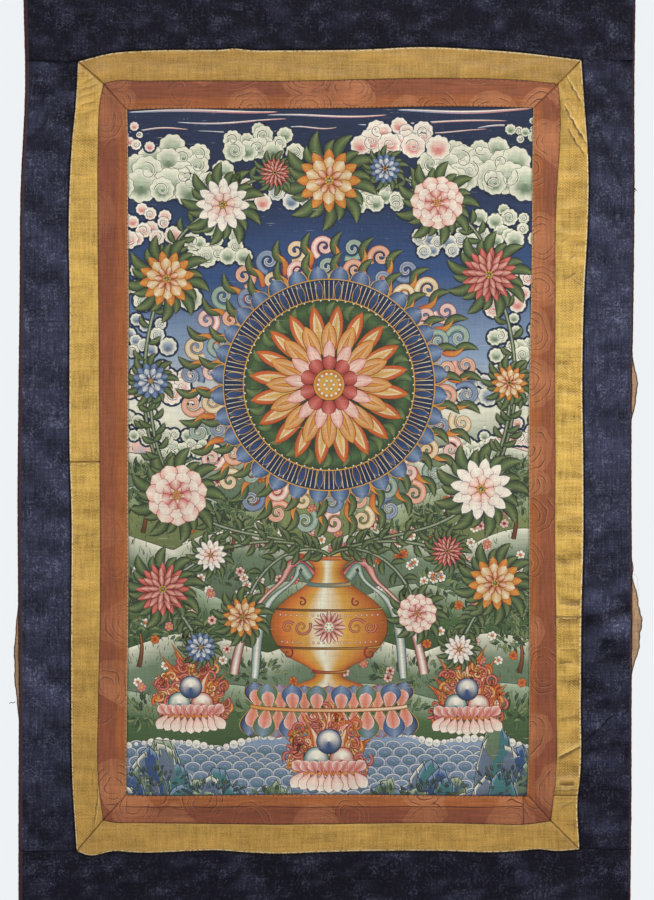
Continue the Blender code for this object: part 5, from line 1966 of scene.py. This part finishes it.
#   height of the petals' feet and of their tips, half width of the row, layer
PETAL_ROWS = ((90, 60, 80, 27.0), (89, 114, 76, 28.4))
for foot, top, wide, level in PETAL_ROWS:
    at = np.linspace(-1, 1, PETAL_COUNT)
    sag = 5 * np.sqrt(1.02 - at**2)
    base = arrows(VASE_X + wide * at * 0.93, foot - sag)
    tip = arrows(VASE_X + wide * at, top - sag * 0.8)
    inner = base * 0.3 + tip * 0.7
    half = wide / PETAL_COUNT
    for part, name in enumerate(("night", "leaf", "crimson", "blue")):
        mine = striped(PETAL_COUNT, 4, part)
        over = level + 0.5 * (np.arange(PETAL_COUNT)[mine] % 2)
        columns = edged(f"gold {name} {name} {name} haze", 0.6)
        blades(VASE, over, base[mine], tip[mine], half * 1.9, 0.0, "petal", columns, 12)
        columns = edged("cream rose amber blush rose", 0.5)
        blades(VASE, over + 0.2, base[mine], inner[mine], half * 1.1, 0.0, "petal", columns, 10)
s = np.linspace(-1, 1, 40)
columns = edged("umber amber gold amber cream", 0.5)
strokes(VASE, 31.0, VASE_X + 78 * s, 90 - 5 * np.sqrt(1.02 - s**2), 2.2, columns)
print("vase", round(2 * float(radius.max())), "mm across, on", len(PETAL_ROWS), "rows of petals")

# %% [markdown]
# ## Blossoms, stems and jewels
#
# From the vase's mouth stems go up on both sides of the medallion. A blossom is built up as a
# painter does it: leaves, then rings of petals from the largest to the smallest, then seeds. A stem
# is a curve between two points, which two more bend, with leaves on either side in turn. Each jewel
# is three balls over a cup of petals, in front of a fan of flames.

# %% Blossoms
#   x, height, radius, kind, turn
BLOSSOMS = (
    (-150, 300, 31, "peony", 0.2), (154, 306, 31, "pale", 0.9), (-164, 206, 27, "red", 0.4),
    (168, 212, 27, "orange", 0.1), (-160, 516, 28, "orange", 0.7), (162, 520, 28, "red", 0.3),
    (-104, 590, 27, "pale", 0.5), (110, 592, 27, "peony", 0.2), (2, 614, 32, "orange", 0.0),
    (-84, 178, 20, "orange", 0.4), (90, 182, 20, "peony", 0.8), (-176, 414, 18, "blue", 0.3),
    (182, 412, 18, "orange", 0.5), (-116, 240, 16, "pale", 0.6), (120, 244, 16, "red", 0.2),
    (-52, 622, 15, "red", 0.1), (58, 626, 15, "blue", 0.4), (-126, 148, 15, "blue", 0.6),
    (132, 146, 15, "pale", 0.2),
)
#   for each kind, rings of: petals, inner and outer share of the radius, half width, shape, paints
KINDS = {
    "peony": (
        (11, 0.3, 1.0, 0.30, "petal", "crimson rose blush blush white"),
        (9, 0.2, 0.76, 0.26, "petal", "crimson rose blush white white"),
        (7, 0.1, 0.5, 0.2, "petal", "crimson brick rose rose white"),
        (5, 0.0, 0.28, 0.13, "lotus", "crimson brick rose rose white"),
    ),
    "pale": (
        (12, 0.25, 1.0, 0.26, "lotus", "slate blush white white white"),
        (10, 0.15, 0.74, 0.22, "petal", "slate rose white white white"),
        (7, 0.1, 0.46, 0.18, "petal", "umber rose blush blush white"),
    ),
    "red": (
        (16, 0.2, 1.0, 0.2, "lotus", "ink crimson brick brick rose"),
        (13, 0.15, 0.8, 0.19, "lotus", "ink crimson brick brick blush"),
        (9, 0.1, 0.52, 0.17, "lotus", "ink crimson rose brick blush"),
    ),
    "orange": (
        (12, 0.25, 1.0, 0.25, "lotus", "umber brick amber amber gold"),
        (10, 0.15, 0.75, 0.21, "petal", "umber amber gold gold cream"),
        (7, 0.1, 0.45, 0.17, "lotus", "umber brick amber amber cream"),
    ),
    "blue": (
        (12, 0.25, 1.0, 0.24, "petal", "ink night blue blue haze"),
        (9, 0.15, 0.72, 0.21, "petal", "ink blue haze haze white"),
        (6, 0.1, 0.42, 0.17, "lotus", "ink night haze blue white"),
    ),
}


def blossom(level, x, h, radius, kind, turn):
    """Two rings of leaves, rings of petals, the largest first, and a heart of seeds."""
    for row, (outer, wide) in enumerate(((1.6, 0.2), (1.3, 0.16))):
        reach, lean = (radius * 0.6, radius * outer), turn + 0.4 + 0.35 * row
        over = 29.0 + 0.6 * row
        ringed("painted_leaves", over, x, h, *reach, 9, radius * wide, "leaf", edged(LEAFY), lean, 0.2)
    for row, (petals, inner, outer, half, shape, paints) in enumerate(KINDS[kind]):
        reach, lean = (radius * inner, radius * outer), turn + 0.3 * row
        over, columns = level + 0.8 * row, edged(paints, 0.5)
        ringed("painted_blossoms", over, x, h, *reach, petals, radius * half, shape, columns, lean)
    seed = max(radius * 0.055, 0.9)
    beads("painted_blossoms", level + 3.4, x, h, radius * 0.11, 7, seed, "gold")


for row, flower in enumerate(BLOSSOMS):
    blossom(38 + 0.1 * (row % 5), *flower)

# %% Stems
#   from: x, height (or the blossom it branches off), two points that bend it, and the blossom it
#   goes to
MOUTH = (2, 240)
STEMS = (
    (MOUTH, (-50, 268), (-110, 250), 0), (MOUTH, (54, 268), (116, 252), 1),
    (MOUTH, (-40, 262), (-110, 262), 2), (MOUTH, (44, 262), (112, 262), 3),
    (0, (-194, 350), (-190, 460), 4), (1, (200, 356), (196, 466), 5),
    (4, (-160, 556), (-130, 578), 6), (5, (162, 560), (136, 580), 7),
    (6, (-80, 622), (-40, 626), 8), (7, (84, 624), (44, 628), 8),
    (MOUTH, (-24, 258), (-72, 236), 9), (MOUTH, (28, 258), (78, 238), 10),
    (0, (-170, 340), (-178, 370), 11), (1, (176, 346), (184, 372), 12),
    (2, (-150, 186), (-136, 170), 17), (3, (154, 190), (142, 172), 18),
)
for row, (start, first, second, end) in enumerate(STEMS):
    start = BLOSSOMS[start][:2] if isinstance(start, int) else start
    a, b, c, d = np.array((start, first, second, BLOSSOMS[end][:2]), float)
    s = np.linspace(0, 1, 30)[:, None]
    path = (1 - s) ** 3 * a + 3 * s * (1 - s) ** 2 * b + 3 * s**2 * (1 - s) * c + s**3 * d
    columns = edged("ink forest grass forest mint", 0.5)
    strokes("painted_leaves", 26.0 + 0.1 * row, path[:, 0], path[:, 1], 2.0, columns)
    foot, way = path[2:-3:2], np.gradient(path, axis=0)[2:-3:2]
    way /= np.linalg.norm(way, axis=1, keepdims=True)
    hand = flipping(len(foot))[:, None]
    tip = foot + (way * 0.75 + arrows(-way[:, 1], way[:, 0]) * hand) * 12.5
    over = 27.6 + 0.1 * row + 0.3 * (np.arange(len(foot)) % 3)
    blades("painted_leaves", over, foot, tip, 3.4, 0.16 * hand, "leaf", edged(LEAFY), 9)
print(len(BLOSSOMS), "blossoms on", len(STEMS), "stems")

# %% Jewels in flames
JEWEL = "painted_jewels"
#   x, height of the middle, size
JEWELS = ((-136, 92, 1.35), (140, 90, 1.35), (2, 36, 1.5))
#   half width and height of a row of flames, paints
FLAMES = (
    (30, 44, "umber brick amber brick gold"), (26, 38, "crimson amber gold brick amber"),
    (19, 30, "crimson amber gold amber cream"),
)
#   paints of the small tongues of fire, and how many there are of each
TONGUES = (
    "crimson brick amber amber gold", "crimson amber gold gold cream", "umber crimson rose brick amber",
)
TONGUES_EACH = 20
#   x and height from the middle of the jewel, paint
BALLS = ((-8.5, 0, "teal"), (8.5, 0, "brick"), (0, 12, "blue"))
#   reach and spread of the petals under a jewel, paints
CUPS = ((-13, 1.0, "crimson rose blush white white"), (9, 0.85, "crimson rose brick white rose"))


def jewel(x, h, size):
    """Rows of flames, small tongues of fire that curl all over them, three balls, and a cup of
    petals below."""
    at = np.linspace(-1, 1, 17)
    base = arrows(x + 15 * size * at, np.full(len(at), h - 10 * size))
    for row, (wide, reach, paints) in enumerate(FLAMES):
        rise = reach * size * np.sqrt(1.1 - at**2) * (1 + 0.12 * flipping(len(at)))
        tip = arrows(x + wide * size * at, h + rise)
        over = 26 + 1.0 * row + 0.3 * (np.arange(len(at)) % 3)
        blades(JEWEL, over, base, tip, 5.6 * size, np.sign(at) * 0.16, "flame", edged(paints, 0.5), 10)
    chance = np.random.default_rng(int(x) + 500)
    count = TONGUES_EACH * len(TONGUES)
    turn, away = chance.uniform(-0.15, math.pi + 0.15, count), chance.uniform(0.55, 1.0, count)
    fx, fh = x + 27 * size * away * np.cos(turn), h + 38 * size * away * np.sin(turn) - 6
    for part, paints in enumerate(TONGUES):
        mine = striped(count, len(TONGUES), part)
        start, hand, columns = turn[mine] + 1.0, flipping(TONGUES_EACH), edged(paints, 0.4)
        over = 28.4 + 0.3 * part
        curls(JEWEL, over, fx[mine], fh[mine], 4.6 * size, start, hand, 1.1, 1.9, columns, 16)
    for row, (dx, dh, name) in enumerate(BALLS):
        shine = ((0.4, 0, "white", name + " 0.8"), (1, 0, "white", name))
        rings = stops("ink", 0.6, (0, 0.6, name, name + " 0.5"), *shine)
        discs(JEWEL, 29.4 + 0.3 * row, x + dx * size, h + dh * size, 8.6 * size, rings, 26)
    at = np.linspace(-1, 1, 9)
    base = arrows(x + 17 * size * at, h - 8 * size - 2 * np.sqrt(1.05 - at**2))
    for row, (reach, wide, paints) in enumerate(CUPS):
        tip = base + arrows(8 * size * wide * at, reach * size * (1 - 0.2 * np.abs(at)))
        over = 30.6 + 0.9 * row + 0.25 * (np.arange(len(at)) % 3)
        blades(JEWEL, over, base, tip, 4.2 * size, 0.0, "petal", edged(paints, 0.5), 9)


for row in JEWELS:
    jewel(*row)
print(len(JEWELS), "jewels")

# %% [markdown]
# ## From patches to pieces
#
# The patches of one subject become one mesh. A point is put on the canvas's own surface and moved
# forward by its layer. Whatever runs past the picture's edge is brought back to it, because the
# silk covers it there, and triangles that are squeezed flat are left out.

# %% Build the painted pieces
EDGE_GAP = 0.12  # how far inside the picture's edge the paint stops
LEAST_AREA = 2e-4  # square millimetres: triangles under it are left out


def picture_limits(x, z):
    """The picture's left and right side at the heights z, its lower and upper end at the places x."""
    down = np.linspace(0, 1, 200)
    left, right, low, high = (seam(side, PICTURE, down).T for side in ("left", "right", "bottom", "top"))
    left, right = (np.interp(-z, -side[1], side[0]) for side in (left, right))
    low, high = (np.interp(x, side[0], side[1]) for side in (low, high))
    return left + EDGE_GAP, right - EDGE_GAP, low + EDGE_GAP, high - EDGE_GAP


def build_piece(name):
    """One mesh from all patches of a piece, as triangles that face the viewer."""
    places, corners, paints, count = [], [], [], 0
    for x, h, level, colours in patches[name]:
        m, rows, columns = x.shape
        faces = grid_faces(rows, columns)
        faces = np.concatenate([faces[:, [0, 1, 2]], faces[:, [0, 2, 3]]])
        first = count + rows * columns * np.arange(m)[:, None, None]
        corners.append((faces[None] + first).reshape(-1, 3))
        places.append(np.stack([x, h + LOWER_EDGE, level], axis=-1).reshape(-1, 3))
        paints.append(colours.reshape(-1, 4))
        count += x.size
    places, corners, paints = (np.concatenate(rows) for rows in (places, corners, paints))
    x, z, level = places.T
    left, right, low, high = picture_limits(x, z)
    x, z = np.clip(x, left, right), np.clip(z, low, high)
    a, b, c = (arrows(x, z)[corners[:, i]] for i in range(3))
    area = crossed(b - a, c - a) / 2
    corners[area < 0] = corners[area < 0][:, ::-1]
    used, corners = np.unique(corners[np.abs(area) > LEAST_AREA], return_inverse=True)
    corners = corners.reshape(-1, 3)
    x, z, level, paints = x[used], z[used], level[used], paints[used]
    left, right, low, high = picture_limits(x, z)
    numbers = {"edge_mm": np.minimum.reduce([x - left, right - x, z - low, high - z])}
    points = hung(x, z, FIRST_LAYER + LAYER_STEP * level)
    keep(mesh_object(name, points, corners, painted, numbers, arrows(x, z) * MM, paints))
    return len(corners)


total = 0
for name in patches:
    triangles = build_piece(name)
    total += triangles
    print(name, triangles, "triangles")
print("painting:", total, "triangles in", len(patches), "pieces")

# %% [markdown]
# ## Floor
#
# The scroll hangs in the air, as it does in the photograph, so nothing touches the floor. It is
# there to send soft light back up and to give the side views a horizon. A plane from the Add menu
# would do as well, but one flat face with 64 corners is round, so no corner of it is ever seen.

# %% Floor
FLOOR_Z = -1400.0
FLOOR_RADIUS = 2000.0
FLOOR_SIDES = 64
floor_look, _, floor_shader = new_material("pale_floor", 0.9, 0.5)
floor_shader.inputs["Base Color"].default_value = (0.8, 0.81, 0.82, 1)
turn = np.linspace(0, ROUND, FLOOR_SIDES, endpoint=False)
rim = FLOOR_RADIUS * arrows(np.cos(turn), np.sin(turn))
rim = np.column_stack([rim, np.full(FLOOR_SIDES, FLOOR_Z)])
mesh_object("floor", rim, np.arange(FLOOR_SIDES)[None], floor_look)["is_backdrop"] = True
print("floor:", FLOOR_RADIUS * 2, "mm across,", -FLOOR_Z, "mm below the top edge")

# %% [markdown]
# ## Finish
#
# Last, the dressed scroll is measured: the box round every mesh that renders, the floor left out.
# The stitches, threads and paint should reach past the plain solids by a few millimetres at most.

# %% Finish
low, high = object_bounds()
